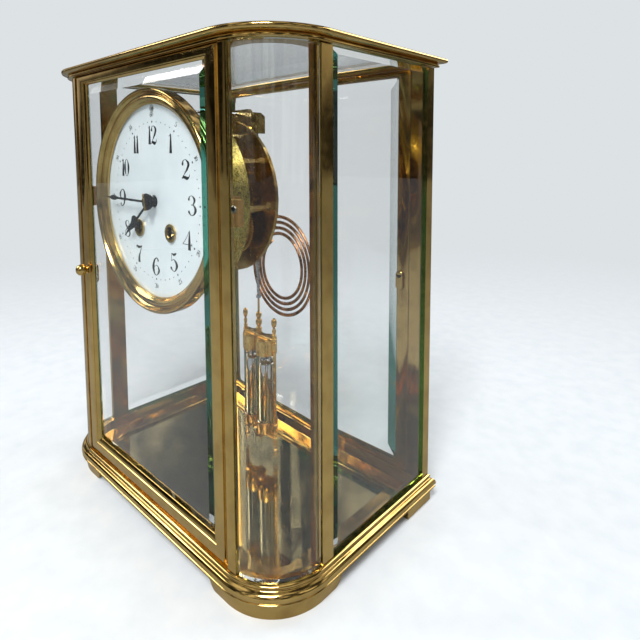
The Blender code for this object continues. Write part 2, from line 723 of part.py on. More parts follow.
def bevelled_sheet(low, high, thickness, edge, bevel):
    """Rings of a flat sheet, bevelled towards +w: each is a list of (u, v, w)."""
    levels = ((0.0, 0.0), (0.0, edge), (bevel, thickness))
    rings = []
    for inset, w in levels:
        rings.append(
            [
                (u, v, w)
                for u, v in rectangle(low[0] + inset, high[0] - inset, low[1] + inset, high[1] - inset)
            ]
        )
    return rings


def make_side_glass(side):
    front = at_depth(CORNER_RADIUS + SIDE_POST_LENGTH + GAP)
    back = at_depth(CASE_DEPTH - REAR_POST_DEPTH - GAP)
    inner = SIDE - GLASS_INSET - GLASS_THICKNESS
    sheet = bevelled_sheet(
        (front, GLAZING_BOTTOM), (back, GLAZING_TOP), GLASS_THICKNESS, GLASS_EDGE, GLASS_BEVEL,
    )
    rings = [[(side * (inner + w), u, v) for u, v, w in ring] for ring in sheet]
    skin("side_glass_" + side_name(side), rings, False, GLASS)


def make_door(name, half, stile, bottom_rail, top_rail, depth, outward, pivot):
    """Glazed door. Outward is -1 for the front door and 1 for the rear one."""
    outer_face = at_depth(0) if outward < 0 else -FRONT
    profile = [*DOOR_PROFILE_SHARES, (DOOR_REBATE_SHARE, DOOR_LIP_SHARE), (DOOR_REBATE_SHARE, 1.0)]
    rings = []
    for across, inward in profile:
        y = outer_face - outward * depth * inward
        corners = rectangle(
            across * stile - half, half - across * stile,
            GLAZING_BOTTOM + across * bottom_rail, GLAZING_TOP - across * top_rail,
        )
        rings.append([(x, y, z) for x, z in corners])
    frame = skin(name + "_frame", rings, True, BRASS)
    middle = (GLAZING_BOTTOM + GLAZING_TOP) / 2
    for end, direction in ((GLAZING_BOTTOM, -1), (GLAZING_TOP, 1)):
        root = end - direction * min(bottom_rail, top_rail) / 2
        pin = [(DOOR_PIN_RADIUS, 0.0), (DOOR_PIN_RADIUS, abs(end - root) + DOOR_PIN_LENGTH)]
        fuse(frame, turned("pin", pin, (*pivot, root), (0, 0, direction), 10, BRASS))
    knob_x = outward * (half - stile * KNOB_INSET_SHARE)
    hole = [(KNOB_SHAFT_RADIUS + GAP, -CUT_OVERRUN), (KNOB_SHAFT_RADIUS + GAP, depth + CUT_OVERRUN)]
    cut(frame, turned("hole", hole, (knob_x, outer_face, KNOB_HEIGHT), (0, -outward, 0), 12, BRASS))
    set_origin(frame, (*pivot, middle))
    seat = 1 - DOOR_REBATE_SHARE
    low = (stile - half - seat * stile + GAP, GLAZING_BOTTOM + bottom_rail * DOOR_REBATE_SHARE + GAP)
    high = (half - stile + seat * stile - GAP, GLAZING_TOP - top_rail * DOOR_REBATE_SHARE - GAP)
    sheet = bevelled_sheet(low, high, DOOR_GLASS_THICKNESS, DOOR_GLASS_EDGE, DOOR_GLASS_BEVEL)
    back = outer_face - outward * (depth - DOOR_GLASS_BACK)
    glass = skin(
        name + "_glass", [[(u, back + outward * w, v) for u, v, w in ring] for ring in sheet], False, GLASS,
    )
    set_origin(glass, (*pivot, middle))
    ride(glass, frame)
    ride(make_knob(name + "_knob", knob_x, outer_face, depth, outward), frame)


def make_knob(name, x, outer_face, depth, outward):
    """Ball knob on a shaft through the door's stile, with a latch tongue behind it."""
    reach = max(FRONT_POST_DEPTH - FRONT_DOOR_DEPTH, 0.0) if outward < 0 else 0.0
    behind = depth + reach + GAP
    profile = [(KNOB_RADIUS * r, -KNOB_PROJECTION * share) for r, share in KNOB_PROFILE_SHARES]
    collar = KNOB_RADIUS * KNOB_PROFILE_SHARES[-1][0]
    profile += [
        (collar, -GAP), (KNOB_SHAFT_RADIUS, -GAP), (KNOB_SHAFT_RADIUS, behind),
        (TONGUE_HALF_WIDTH, behind), (TONGUE_HALF_WIDTH, behind + TONGUE_THICKNESS),
    ]
    knob = turned(name, profile, (x, outer_face, KNOB_HEIGHT), (0, -outward, 0), 10, BRASS)
    near = outer_face - outward * behind
    far = near - outward * TONGUE_THICKNESS
    blade = rectangle(
        x - TONGUE_HALF_WIDTH, x + TONGUE_HALF_WIDTH, KNOB_HEIGHT - TONGUE_LENGTH, KNOB_HEIGHT,
    )
    fuse(knob, skin("tongue", [[(u, y, v) for u, v in blade] for y in (near, far)], False, BRASS))
    return set_origin(knob, (x, outer_face, KNOB_HEIGHT))


def make_case():
    make_feet()
    make_base()
    make_top()
    for side in (-1, 1):
        make_front_post(side)
        make_side_post(side)
        make_rear_post(side)
        make_corner_glass(side)
        make_side_glass(side)
    front_pivot, rear_pivot = door_pivots()
    make_door(
        "front_door", FRONT_DOOR_HALF, FRONT_STILE, FRONT_BOTTOM_RAIL, FRONT_TOP_RAIL, FRONT_DOOR_DEPTH, -1,
        front_pivot,
    )
    make_door(
        "rear_door", REAR_DOOR_HALF, REAR_STILE, REAR_BOTTOM_RAIL, REAR_TOP_RAIL, REAR_DOOR_DEPTH, 1,
        rear_pivot,
    )


def make_dial():
    """Enamel dial, its stepped bezel, the ring that carries both, and the winding holes' ferrules."""
    dial_back = DIAL_DEPTH + DIAL_THICKNESS
    ring_front = dial_back + GAP
    ferrule_radius = FERRULE_HOLE + FERRULE_WALL
    holes = [
        circle(CENTRE, DIAL_CENTRE_HOLE, 16), circle(REGULATOR, REGULATOR_HOLE, 10),
        circle(GOING_BARREL, ferrule_radius + GAP, 16), circle(STRIKE_BARREL, ferrule_radius + GAP, 16),
    ]
    plate("dial", [circle(CENTRE, DIAL_RADIUS, DIAL_STEPS), *holes], DIAL_DEPTH, dial_back, ENAMEL)
    width = BEZEL_RADIUS - DIAL_OPENING_RADIUS
    lip_back = DIAL_DEPTH - GAP
    front = [
        (DIAL_OPENING_RADIUS + width * out, lip_back - BEZEL_FRONT * up)
        for out, up in BEZEL_PROFILE_SHARES
    ]
    back = [
        (DIAL_OPENING_RADIUS, lip_back), (DIAL_RADIUS + GAP, lip_back), (DIAL_RADIUS + GAP, dial_back),
        (BEZEL_RADIUS, dial_back),
    ]
    turned_back("bezel", front + back, CENTRE, DIAL_STEPS, BRASS, closed=True)
    bore = PLATE_RADIUS + GAP
    flange_back = ring_front + RING_FLANGE_THICKNESS
    profile = [
        (bore, ring_front), (RING_FLANGE_RADIUS, ring_front), (RING_FLANGE_RADIUS, flange_back),
        (RING_RADIUS, flange_back), (RING_RADIUS, RING_BACK), (bore, RING_BACK),
    ]
    ring = turned_back("movement_ring", profile, CENTRE, DIAL_STEPS, MOVEMENT_BRASS, closed=True)
    passage = [
        (REGULATOR_RADIUS + GAP, ring_front - CUT_OVERRUN),
        (REGULATOR_RADIUS + GAP, flange_back + CUT_OVERRUN),
    ]
    cut(ring, turned_back("passage", passage, REGULATOR, 10, BRASS))
    for side, centre in ((-1, STRIKE_BARREL), (1, GOING_BARREL)):
        flange_front = DIAL_DEPTH - GAP - FERRULE_FLANGE_THICKNESS
        profile = [
            (FERRULE_HOLE, flange_front), (FERRULE_FLANGE_RADIUS, flange_front),
            (FERRULE_FLANGE_RADIUS, DIAL_DEPTH - GAP), (ferrule_radius, DIAL_DEPTH - GAP),
            (ferrule_radius, dial_back), (FERRULE_HOLE, dial_back),
        ]
        turned_back("winding_ferrule_" + side_name(side), profile, centre, 14, BRASS, closed=True)


def make_brackets():
    """Two cranked brackets that hold the movement ring to the front posts."""
    foot_front = FRONT_POST_DEPTH + GAP
    foot_back = foot_front + BRACKET_THICKNESS
    web_inner = BEZEL_RADIUS + 4 * GAP
    web_outer = web_inner + BRACKET_WEB
    arm_back = BRACKET_ARM_DEPTH + BRACKET_ARM_THICKNESS
    low, high = DIAL_HEIGHT - BRACKET_HALF_HEIGHT, DIAL_HEIGHT + BRACKET_HALF_HEIGHT
    for side in (-1, 1):
        outline = [
            (BRACKET_OUTER - BRACKET_CHAMFER, foot_front),
            (BRACKET_OUTER, foot_front + BRACKET_CHAMFER / 2),
            (BRACKET_OUTER, foot_back), (web_outer, foot_back), (web_outer, arm_back),
            (PLATE_RADIUS, arm_back), (PLATE_RADIUS, BRACKET_ARM_DEPTH), (web_inner, BRACKET_ARM_DEPTH),
            (web_inner, foot_front),
        ]
        places = [(x, at_depth(depth)) for x, depth in outline]
        bracket = prism_up("movement_bracket_" + side_name(side), mirrored(places, side), low, high, BRASS)
        reach = [(RING_RADIUS + GAP, foot_back), (RING_RADIUS + GAP, arm_back + CUT_OVERRUN)]
        cut(bracket, turned_back("reach", reach, CENTRE, DIAL_STEPS, BRASS))


def gear_outline(centre, teeth, module, tooth_shares, phase):
    """Toothed outline with a tooth's middle at the phase angle. The shares are the height above and below the
    pitch circle in modules, and the tooth's width at its tip and at its root in steps of the teeth."""
    above, below, tip_share, root_share = tooth_shares
    pitch_radius = teeth * module / 2
    root, tip = pitch_radius - below * module, pitch_radius + above * module
    corners = [(root, -root_share / 2)]
    corners += [(tip, -tip_share / 2), (tip, tip_share / 2)] if tip_share else [(tip, 0.0)]
    if root_share < 1:
        corners.append((root, root_share / 2))
    step = 2 * math.pi / teeth
    outline = []
    for tooth in range(teeth):
        for radius, share in corners:
            angle = phase + (tooth + share) * step
            outline.append((centre[0] + radius * math.cos(angle), centre[1] + radius * math.sin(angle)))
    return outline


def crossings(centre, outer, hub, spokes, half_width):
    """Openings between the spokes of a wheel."""
    outlines = []
    for i in range(spokes):
        start, end = 2 * math.pi * i / spokes, 2 * math.pi * (i + 1) / spokes
        wide, narrow = half_width / outer, half_width / hub
        outline = arc(centre, outer, start + wide, end - wide, 3) + arc(
            centre, hub, end - narrow, start + narrow, 1,
        )
        outlines.append(outline)
    return outlines


def heading(start, end):
    """Angle of the line from one centre to another."""
    return math.atan2(end[1] - start[1], end[0] - start[0])


def distance(start, end):
    return math.hypot(end[0] - start[0], end[1] - start[1])


def pair_module(driver, driven, driver_teeth, driven_teeth):
    """Module that makes two pitch circles meet."""
    return 2 * distance(driver, driven) / (driver_teeth + driven_teeth)


def meshing_phase(driver, driven, driven_teeth):
    """Phase that turns a gap of the driven pinion to the driver's tooth."""
    return heading(driven, driver) + math.pi / driven_teeth


def arbor(name, centre, radius, paint, front=None, back=None):
    """Spindle between the plates with a thin pivot in each."""
    near, far = FRONT_PLATE_BACK + SHAKE, BACK_PLATE_DEPTH - SHAKE
    profile = []
    if front is None:
        profile += [(PIVOT_RADIUS, FRONT_PLATE_DEPTH + SHAKE), (PIVOT_RADIUS, near), (radius, near)]
    else:
        profile += [(radius, front)]
    if back is None:
        profile += [(radius, far), (PIVOT_RADIUS, far), (PIVOT_RADIUS, BACK_PLATE_BACK - SHAKE)]
    else:
        profile += [(radius, back)]
    return turned_back(name, profile, centre, 8, paint)


def train_wheel(centre, teeth, module, phase, front, hub_radius, spokes=4):
    """Crossed-out wheel blank with its teeth."""
    outer = teeth * module / 2 * RIM_SHARE
    hub = max(outer * HUB_SHARE, hub_radius)
    outlines = [gear_outline(centre, teeth, module, WHEEL_TOOTH_SHARES, phase)]
    outlines += crossings(centre, outer, hub, spokes, SPOKE_HALF_WIDTH)
    return plate("wheel", outlines, front, front + WHEEL_THICKNESS, MOVEMENT_BRASS)


def pinion(centre, teeth, module, phase, wheel_front, wheel_thickness):
    """Solid pinion as long as its own length, centred on the wheel that it meshes with."""
    middle = wheel_front + wheel_thickness / 2
    outline = gear_outline(centre, teeth, module, PINION_TOOTH_SHARES, phase)
    return prism_back(
        "pinion", outline, middle - PINION_LENGTH / 2, middle + PINION_LENGTH / 2, MOVEMENT_BRASS,
    )


def on_axis(piece, centre):
    """Origin of a piece that turns about a line from front to back."""
    return set_origin(piece, (centre[0], at_depth(BACK_PLATE_DEPTH), centre[1]))


def make_going_train():
    great_module = pair_module(GOING_BARREL, INTERMEDIATE, GREAT_TEETH, SMALL_PINION_TEETH)
    middle_module = pair_module(INTERMEDIATE, CENTRE, INTERMEDIATE_TEETH, SMALL_PINION_TEETH)
    centre_module = pair_module(CENTRE, THIRD, CENTRE_TEETH, FINE_PINION_TEETH)
    third_module = pair_module(THIRD, ESCAPE, THIRD_TEETH, FINE_PINION_TEETH)
    great_depth = BARREL_DEPTH + BARREL_LENGTH
    make_barrel("going_barrel", GOING_BARREL, great_module, heading(GOING_BARREL, INTERMEDIATE), great_depth)

    wheel = arbor("intermediate_wheel", INTERMEDIATE, ARBOR_RADIUS, MOVEMENT_BRASS)
    phase = meshing_phase(GOING_BARREL, INTERMEDIATE, SMALL_PINION_TEETH)
    fuse(
        wheel,
        pinion(INTERMEDIATE, SMALL_PINION_TEETH, great_module, phase, great_depth, GREAT_THICKNESS),
        train_wheel(
            INTERMEDIATE, INTERMEDIATE_TEETH, middle_module, heading(INTERMEDIATE, CENTRE),
            SLOW_WHEEL_DEPTH, ARBOR_RADIUS,
        ),
    )
    on_axis(wheel, INTERMEDIATE)

    wheel = arbor("centre_wheel", CENTRE, ARBOR_RADIUS, MOVEMENT_BRASS, front=centre_arbor_front())
    phase = meshing_phase(INTERMEDIATE, CENTRE, SMALL_PINION_TEETH)
    fuse(
        wheel,
        pinion(CENTRE, SMALL_PINION_TEETH, middle_module, phase, SLOW_WHEEL_DEPTH, WHEEL_THICKNESS),
        train_wheel(
            CENTRE, CENTRE_TEETH, centre_module, heading(CENTRE, THIRD), CENTRE_WHEEL_DEPTH, ARBOR_RADIUS,
        ),
    )
    on_axis(wheel, CENTRE)

    wheel = arbor("third_wheel", THIRD, ARBOR_RADIUS, MOVEMENT_BRASS)
    phase = meshing_phase(CENTRE, THIRD, FINE_PINION_TEETH)
    fuse(
        wheel,
        pinion(THIRD, FINE_PINION_TEETH, centre_module, phase, CENTRE_WHEEL_DEPTH, WHEEL_THICKNESS),
        train_wheel(
            THIRD, THIRD_TEETH, third_module, heading(THIRD, ESCAPE), THIRD_WHEEL_DEPTH, ARBOR_RADIUS,
        ),
    )
    on_axis(wheel, THIRD)

    wheel = arbor("escape_wheel", ESCAPE, PIVOT_RADIUS, STEEL)
    phase = meshing_phase(THIRD, ESCAPE, FINE_PINION_TEETH)
    fuse(
        wheel,
        pinion(ESCAPE, FINE_PINION_TEETH, third_module, phase, THIRD_WHEEL_DEPTH, WHEEL_THICKNESS),
        escape_blank(),
    )
    on_axis(wheel, ESCAPE)


def escape_blank():
    """Escape wheel with leaning pointed teeth and four spokes."""
    depth = ESCAPE_RADIUS * (1 - RIM_SHARE) / 2
    step = 2 * math.pi / ESCAPE_TEETH
    outline = []
    for tooth in range(ESCAPE_TEETH):
        for radius, share in ((ESCAPE_RADIUS - depth, 0.0), (ESCAPE_RADIUS, ESCAPE_TOOTH_LEAN)):
            angle = (tooth + share) * step
            outline.append((ESCAPE[0] + radius * math.cos(angle), ESCAPE[1] + radius * math.sin(angle)))
    inner = ESCAPE_RADIUS * RIM_SHARE
    holes = crossings(ESCAPE, inner, inner * HUB_SHARE, 4, SPOKE_HALF_WIDTH)
    back = ESCAPE_WHEEL_DEPTH + WHEEL_THICKNESS
    return plate("escape", [outline, *holes], ESCAPE_WHEEL_DEPTH, back, MOVEMENT_BRASS)


def centre_arbor_front():
    """Depth of the centre arbor's front end, just behind the nut of the hands."""
    return DIAL_DEPTH - MINUTE_HAND_GAP - HAND_THICKNESS / 2 - GAP


def make_barrel(name, centre, module, phase, great_depth):
    """Spring barrel with its great wheel at one end, bored for the winding arbor."""
    bore = circle(centre, WINDING_RADIUS + GAP, 12)
    outline = gear_outline(centre, GREAT_TEETH, module, WHEEL_TOOTH_SHARES, phase)
    barrel = plate(name, [outline, bore], great_depth, great_depth + GREAT_THICKNESS, MOVEMENT_BRASS)
    middle = great_depth + GREAT_THICKNESS / 2
    front, back = min(BARREL_DEPTH, middle), max(BARREL_DEPTH + BARREL_LENGTH, middle)
    profile = [
        (WINDING_RADIUS + GAP, front), (BARREL_RADIUS, front), (BARREL_RADIUS, back),
        (WINDING_RADIUS + GAP, back),
    ]
    fuse(barrel, turned_back("drum", profile, centre, 20, MOVEMENT_BRASS, closed=True))
    on_axis(barrel, centre)


def make_winding_arbor(side, centre):
    """Arbor of a barrel, with its ratchet on the front plate and the square that takes the key."""
    near, far = FRONT_PLATE_DEPTH - SHAKE, BACK_PLATE_DEPTH - SHAKE
    profile = [
        (WINDING_RADIUS, near - RATCHET_THICKNESS), (WINDING_RADIUS, far), (PIVOT_RADIUS * 2, far),
        (PIVOT_RADIUS * 2, BACK_PLATE_BACK - SHAKE),
    ]
    piece = turned_back("winding_arbor_" + side_name(side), profile, centre, 12, STEEL)
    teeth = []
    for tooth in range(RATCHET_TEETH):
        for radius_share, share in RATCHET_TOOTH_SHARES:
            angle = (tooth + share) * 2 * math.pi / RATCHET_TEETH
            radius = RATCHET_RADIUS * radius_share
            teeth.append((centre[0] + radius * math.cos(angle), centre[1] + radius * math.sin(angle)))
    square = rectangle(
        centre[0] - WINDING_SQUARE, centre[0] + WINDING_SQUARE, centre[1] - WINDING_SQUARE,
        centre[1] + WINDING_SQUARE,
    )
    fuse(
        piece,
        prism_back("ratchet", teeth, near - RATCHET_THICKNESS, near, STEEL),
        prism_back("square", square, DIAL_DEPTH + WINDING_END_GAP, near, STEEL),
    )
    on_axis(piece, centre)


def make_strike_train():
    great_module = pair_module(STRIKE_BARREL, STRIKE, GREAT_TEETH, SMALL_PINION_TEETH)
    great_depth = BARREL_DEPTH - GREAT_THICKNESS
    make_barrel("strike_barrel", STRIKE_BARREL, great_module, heading(STRIKE_BARREL, STRIKE), great_depth)
    fly_reach = (STRIKE_TEETH + FINE_PINION_TEETH) * STRIKE_MODULE / 2
    fly_centre = (STRIKE[0] + fly_reach * math.cos(FLY_ANGLE), STRIKE[1] + fly_reach * math.sin(FLY_ANGLE))

    wheel = arbor("strike_wheel", STRIKE, ARBOR_RADIUS, MOVEMENT_BRASS)
    phase = meshing_phase(STRIKE_BARREL, STRIKE, SMALL_PINION_TEETH)
    pins = []
    for place in circle(STRIKE, STRIKE_PIN_CIRCLE, STRIKE_PINS):
        pin_ends = (
            SLOW_WHEEL_DEPTH - STRIKE_PIN_LENGTH, SLOW_WHEEL_DEPTH + WHEEL_THICKNESS + STRIKE_PIN_RADIUS,
        )
        pin = [(STRIKE_PIN_RADIUS, depth) for depth in pin_ends]
        pins.append(turned_back("pin", pin, place, 5, STEEL))
    fuse(
        wheel,
        pinion(STRIKE, SMALL_PINION_TEETH, great_module, phase, great_depth, GREAT_THICKNESS),
        train_wheel(STRIKE, STRIKE_TEETH, STRIKE_MODULE, FLY_ANGLE, SLOW_WHEEL_DEPTH, ARBOR_RADIUS),
        *pins,
    )
    on_axis(wheel, STRIKE)

    fly = arbor("fly", fly_centre, PIVOT_RADIUS, STEEL)
    phase = meshing_phase(STRIKE, fly_centre, FINE_PINION_TEETH)
    vane = rectangle(
        fly_centre[0] - FLY_HALF_SPAN, fly_centre[0] + FLY_HALF_SPAN, fly_centre[1] - FLY_THICKNESS,
        fly_centre[1] + FLY_THICKNESS,
    )
    fuse(
        fly,
        pinion(fly_centre, FINE_PINION_TEETH, STRIKE_MODULE, phase, SLOW_WHEEL_DEPTH, WHEEL_THICKNESS),
        prism_back("vane", vane, FLY_DEPTH, FLY_DEPTH + FLY_LENGTH, MOVEMENT_BRASS),
    )
    on_axis(fly, fly_centre)
    return fly_centre


def make_plates(fly_centre):
    """Front and back plates with their pivot holes. The pillars are riveted into the back plate."""
    small = [INTERMEDIATE, THIRD, ESCAPE, STRIKE, fly_centre]
    pivot_hole = PIVOT_RADIUS + RUNNING_GAP
    front_holes = [circle(place, pivot_hole, 8) for place in [*small, ANCHOR, HAMMER]]
    front_holes += [circle(CENTRE, ARBOR_RADIUS + GAP, 10)]
    front_holes += [circle(place, WINDING_RADIUS + GAP, 12) for place in (GOING_BARREL, STRIKE_BARREL)]
    front = plate(
        "front_plate", [circle(CENTRE, PLATE_RADIUS, PLATE_STEPS), *front_holes], FRONT_PLATE_DEPTH,
        FRONT_PLATE_BACK, MOVEMENT_BRASS,
    )
    stud = [
        (MOTION_STUD_RADIUS, HOUR_WHEEL_DEPTH - GAP),
        (MOTION_STUD_RADIUS, FRONT_PLATE_BACK - PLATE_THICKNESS / 2),
    ]
    fuse(front, turned_back("stud", stud, minute_wheel_centre(), 8, MOVEMENT_BRASS))
    back_holes = [circle(place, pivot_hole, 8) for place in [*small, CENTRE]]
    back_holes += [circle(place, 2 * PIVOT_RADIUS + GAP, 10) for place in (GOING_BARREL, STRIKE_BARREL)]
    back_holes += [circle(place, ARBOR_RADIUS + GAP, 10) for place in (ANCHOR, HAMMER)]
    back = plate(
        "back_plate", [circle(CENTRE, PLATE_RADIUS, PLATE_STEPS), *back_holes], BACK_PLATE_DEPTH,
        BACK_PLATE_BACK, MOVEMENT_BRASS,
    )
    near = FRONT_PLATE_BACK + GAP
    length = BACK_PLATE_DEPTH + PLATE_THICKNESS / 2 - near
    profile = [(PILLAR_RADIUS * radius, near + length * share) for radius, share in PILLAR_SHARES]
    places = [
        (CENTRE[0] + PILLAR_CIRCLE * math.cos(angle), CENTRE[1] + PILLAR_CIRCLE * math.sin(angle))
        for angle in PILLAR_ANGLES
    ]
    fuse(back, *[turned_back("pillar", profile, place, 6, MOVEMENT_BRASS) for place in places])


def minute_wheel_centre():
    reach = (CANNON_TEETH + MINUTE_TEETH) * MOTION_MODULE / 2
    return (CENTRE[0], CENTRE[1] - reach)


def spade_outline(length, boss, neck, spade, spade_share, turn):
    """Hand with a round boss, thin neck, lobed spade and long point, turned clockwise from twelve."""
    middle = length * spade_share
    half = length * SPADE_LENGTH_SHARE

    def half_width(place):
        lobe = spade * math.sqrt(max(0.0, 1 - ((place - middle) / half) ** 2))
        point = spade * 0.8 * max(0.0, (length - place) / (length - middle)) ** 1.4 if place > middle else 0.0
        return max(neck * (1 if place < middle else 0.3), lobe, point)

    start = math.asin(neck / boss)
    rim = [(boss * math.sin(a), boss * math.cos(a)) for a in np.linspace(2 * math.pi - start, start, 15)]
    stations = [*np.linspace(middle - half, middle + half, 9), *np.linspace(middle + 1.5 * half, length, 5)]
    right = [(half_width(place), place) for place in stations]
    left = [(-across, place) for across, place in reversed(right)]
    outline = rim + right + left
    sine, cosine = math.sin(turn), math.cos(turn)
    return [(CENTRE[0] + x * cosine + z * sine, CENTRE[1] + z * cosine - x * sine) for x, z in outline]


def make_hands():
    """The two hands with their pipes and wheels, the nut, and the wheel that joins them."""
    stud = minute_wheel_centre()
    hour_module = pair_module(stud, CENTRE, MINUTE_PINION_TEETH, HOUR_TEETH)
    front = DIAL_DEPTH - MINUTE_HAND_GAP - HAND_THICKNESS
    outline = spade_outline(
        MINUTE_HAND_LENGTH, MINUTE_BOSS, HAND_NECK, MINUTE_SPADE, MINUTE_SPADE_SHARE, MINUTE_TURN,
    )
    minute = prism_back("minute_hand", outline, front, front + HAND_THICKNESS, BLACK_STEEL)
    pinion_back = MINUTE_WHEEL_DEPTH + MOTION_WHEEL_THICKNESS + GAP
    pipe = [(CANNON_RADIUS, front + HAND_THICKNESS / 2), (CANNON_RADIUS, pinion_back)]
    phase = heading(CENTRE, stud) + math.pi / CANNON_TEETH
    leaves = gear_outline(CENTRE, CANNON_TEETH, MOTION_MODULE, PINION_TOOTH_SHARES, phase)
    fuse(
        minute,
        turned_back("pipe", pipe, CENTRE, 14, BLACK_STEEL),
        prism_back("leaves", leaves, MINUTE_WHEEL_DEPTH - GAP, pinion_back, STEEL),
    )
    bore = [(CANNON_BORE, front - CUT_OVERRUN), (CANNON_BORE, pinion_back + CUT_OVERRUN)]
    cut(minute, turned_back("bore", bore, CENTRE, 12, BLACK_STEEL))
    on_axis(minute, CENTRE)

    nut = [
        (NUT_RADIUS * 0.45, front - GAP - NUT_THICKNESS),
        (NUT_RADIUS * 0.85, front - GAP - NUT_THICKNESS * 0.75),
        (NUT_RADIUS, front - GAP - NUT_THICKNESS * 0.3), (NUT_RADIUS, front - GAP),
    ]
    on_axis(turned_back("hand_nut", nut, CENTRE, 16, STEEL), CENTRE)

    front = DIAL_DEPTH - HOUR_HAND_GAP - HAND_THICKNESS
    outline = spade_outline(HOUR_HAND_LENGTH, HOUR_BOSS, HAND_NECK, HOUR_SPADE, HOUR_SPADE_SHARE, HOUR_TURN)
    hour = prism_back("hour_hand", outline, front, front + HAND_THICKNESS, BLACK_STEEL)
    wheel_back = HOUR_WHEEL_DEPTH + MOTION_WHEEL_THICKNESS
    pipe = [(HOUR_PIPE_RADIUS, front + HAND_THICKNESS / 2), (HOUR_PIPE_RADIUS, wheel_back)]
    teeth = gear_outline(CENTRE, HOUR_TEETH, hour_module, WHEEL_TOOTH_SHARES, heading(CENTRE, stud))
    fuse(
        hour,
        turned_back("pipe", pipe, CENTRE, 14, BLACK_STEEL),
        prism_back("teeth", teeth, HOUR_WHEEL_DEPTH, wheel_back, MOVEMENT_BRASS),
    )
    bore = [(HOUR_PIPE_BORE, front - CUT_OVERRUN), (HOUR_PIPE_BORE, wheel_back + CUT_OVERRUN)]
    cut(hour, turned_back("bore", bore, CENTRE, 14, BLACK_STEEL))
    on_axis(hour, CENTRE)

    teeth = gear_outline(stud, MINUTE_TEETH, MOTION_MODULE, WHEEL_TOOTH_SHARES, heading(stud, CENTRE))
    bore = circle(stud, MOTION_STUD_RADIUS + GAP, 10)
    wheel = plate(
        "minute_wheel", [teeth, bore], MINUTE_WHEEL_DEPTH, MINUTE_WHEEL_DEPTH + MOTION_WHEEL_THICKNESS,
        MOVEMENT_BRASS,
    )
    phase = heading(stud, CENTRE) + math.pi / MINUTE_PINION_TEETH
    leaves = gear_outline(stud, MINUTE_PINION_TEETH, hour_module, PINION_TOOTH_SHARES, phase)
    middle = MINUTE_WHEEL_DEPTH + MOTION_WHEEL_THICKNESS / 2
    fuse(wheel, plate("leaves", [leaves, bore], HOUR_WHEEL_DEPTH, middle, MOVEMENT_BRASS))
    on_axis(wheel, stud)


def make_anchor():
    """Pallets over the escape wheel, their arbor, and the crutch whose fork takes the pendulum rod."""
    reach = ESCAPE_RADIUS + PALLET_CLEARANCE
    nib_x, nib_z = reach * math.sin(PALLET_ANGLE), ESCAPE[1] + reach * math.cos(PALLET_ANGLE)
    thick = 2 * ARBOR_RADIUS
    outline = [
        (ANCHOR[0], ANCHOR[1] + thick), (nib_x + ANCHOR_ARM, nib_z + 2 * ANCHOR_ARM),
        (nib_x + ANCHOR_ARM, nib_z + ANCHOR_ARM / 2),
        (nib_x, nib_z), (nib_x - ANCHOR_ARM / 2, nib_z + ANCHOR_ARM), (ANCHOR[0], ANCHOR[1] - thick),
        (ANCHOR_ARM / 2 - nib_x, nib_z + ANCHOR_ARM), (-nib_x, nib_z),
        (-nib_x - ANCHOR_ARM, nib_z + ANCHOR_ARM / 2),
        (-nib_x - ANCHOR_ARM, nib_z + 2 * ANCHOR_ARM),
    ]
    middle = ESCAPE_WHEEL_DEPTH + WHEEL_THICKNESS / 2
    crutch_front = BACK_PLATE_BACK + GAP
    crutch_back = crutch_front + CRUTCH_THICKNESS
    fork_low = PIVOT_HEIGHT - CRUTCH_LENGTH
    inner = ROD_RADIUS + GAP
    fork_front = PENDULUM_DEPTH - ROD_RADIUS - 2 * FORK_PRONG
    fork_back = PENDULUM_DEPTH + 2 * ROD_RADIUS
    anchor = arbor("anchor", ANCHOR, ARBOR_RADIUS, STEEL, back=COCK_DEPTH - GAP)
    pivot = [(PIVOT_RADIUS, COCK_DEPTH - 2 * GAP), (PIVOT_RADIUS, COCK_DEPTH + COCK_THICKNESS - GAP)]
    bar = rectangle(-CRUTCH_WIDTH / 2, CRUTCH_WIDTH / 2, fork_low, PIVOT_HEIGHT)
    reach_bar = rectangle(-CRUTCH_WIDTH / 2, CRUTCH_WIDTH / 2, fork_low, fork_low + FORK_HEIGHT)
    fork = rectangle(-inner - FORK_PRONG, inner + FORK_PRONG, fork_low, fork_low + FORK_HEIGHT)
    fuse(
        anchor,
        turned_back("pivot", pivot, ANCHOR, 8, STEEL),
        prism_back("pallets", outline, middle - PALLET_THICKNESS / 2, middle + PALLET_THICKNESS / 2, STEEL),
        prism_back("bar", bar, crutch_front, crutch_back, STEEL),
        prism_back("reach", reach_bar, crutch_back - CRUTCH_THICKNESS / 2, fork_front + FORK_PRONG, STEEL),
        prism_back("fork", fork, fork_front, fork_back, STEEL),
    )
    slot = rectangle(-inner, inner, fork_low - CUT_OVERRUN, fork_low + FORK_HEIGHT + CUT_OVERRUN)
    cut(anchor, prism_back("slot", slot, fork_front + FORK_PRONG, fork_back + CUT_OVERRUN, STEEL))
    on_axis(anchor, ANCHOR)


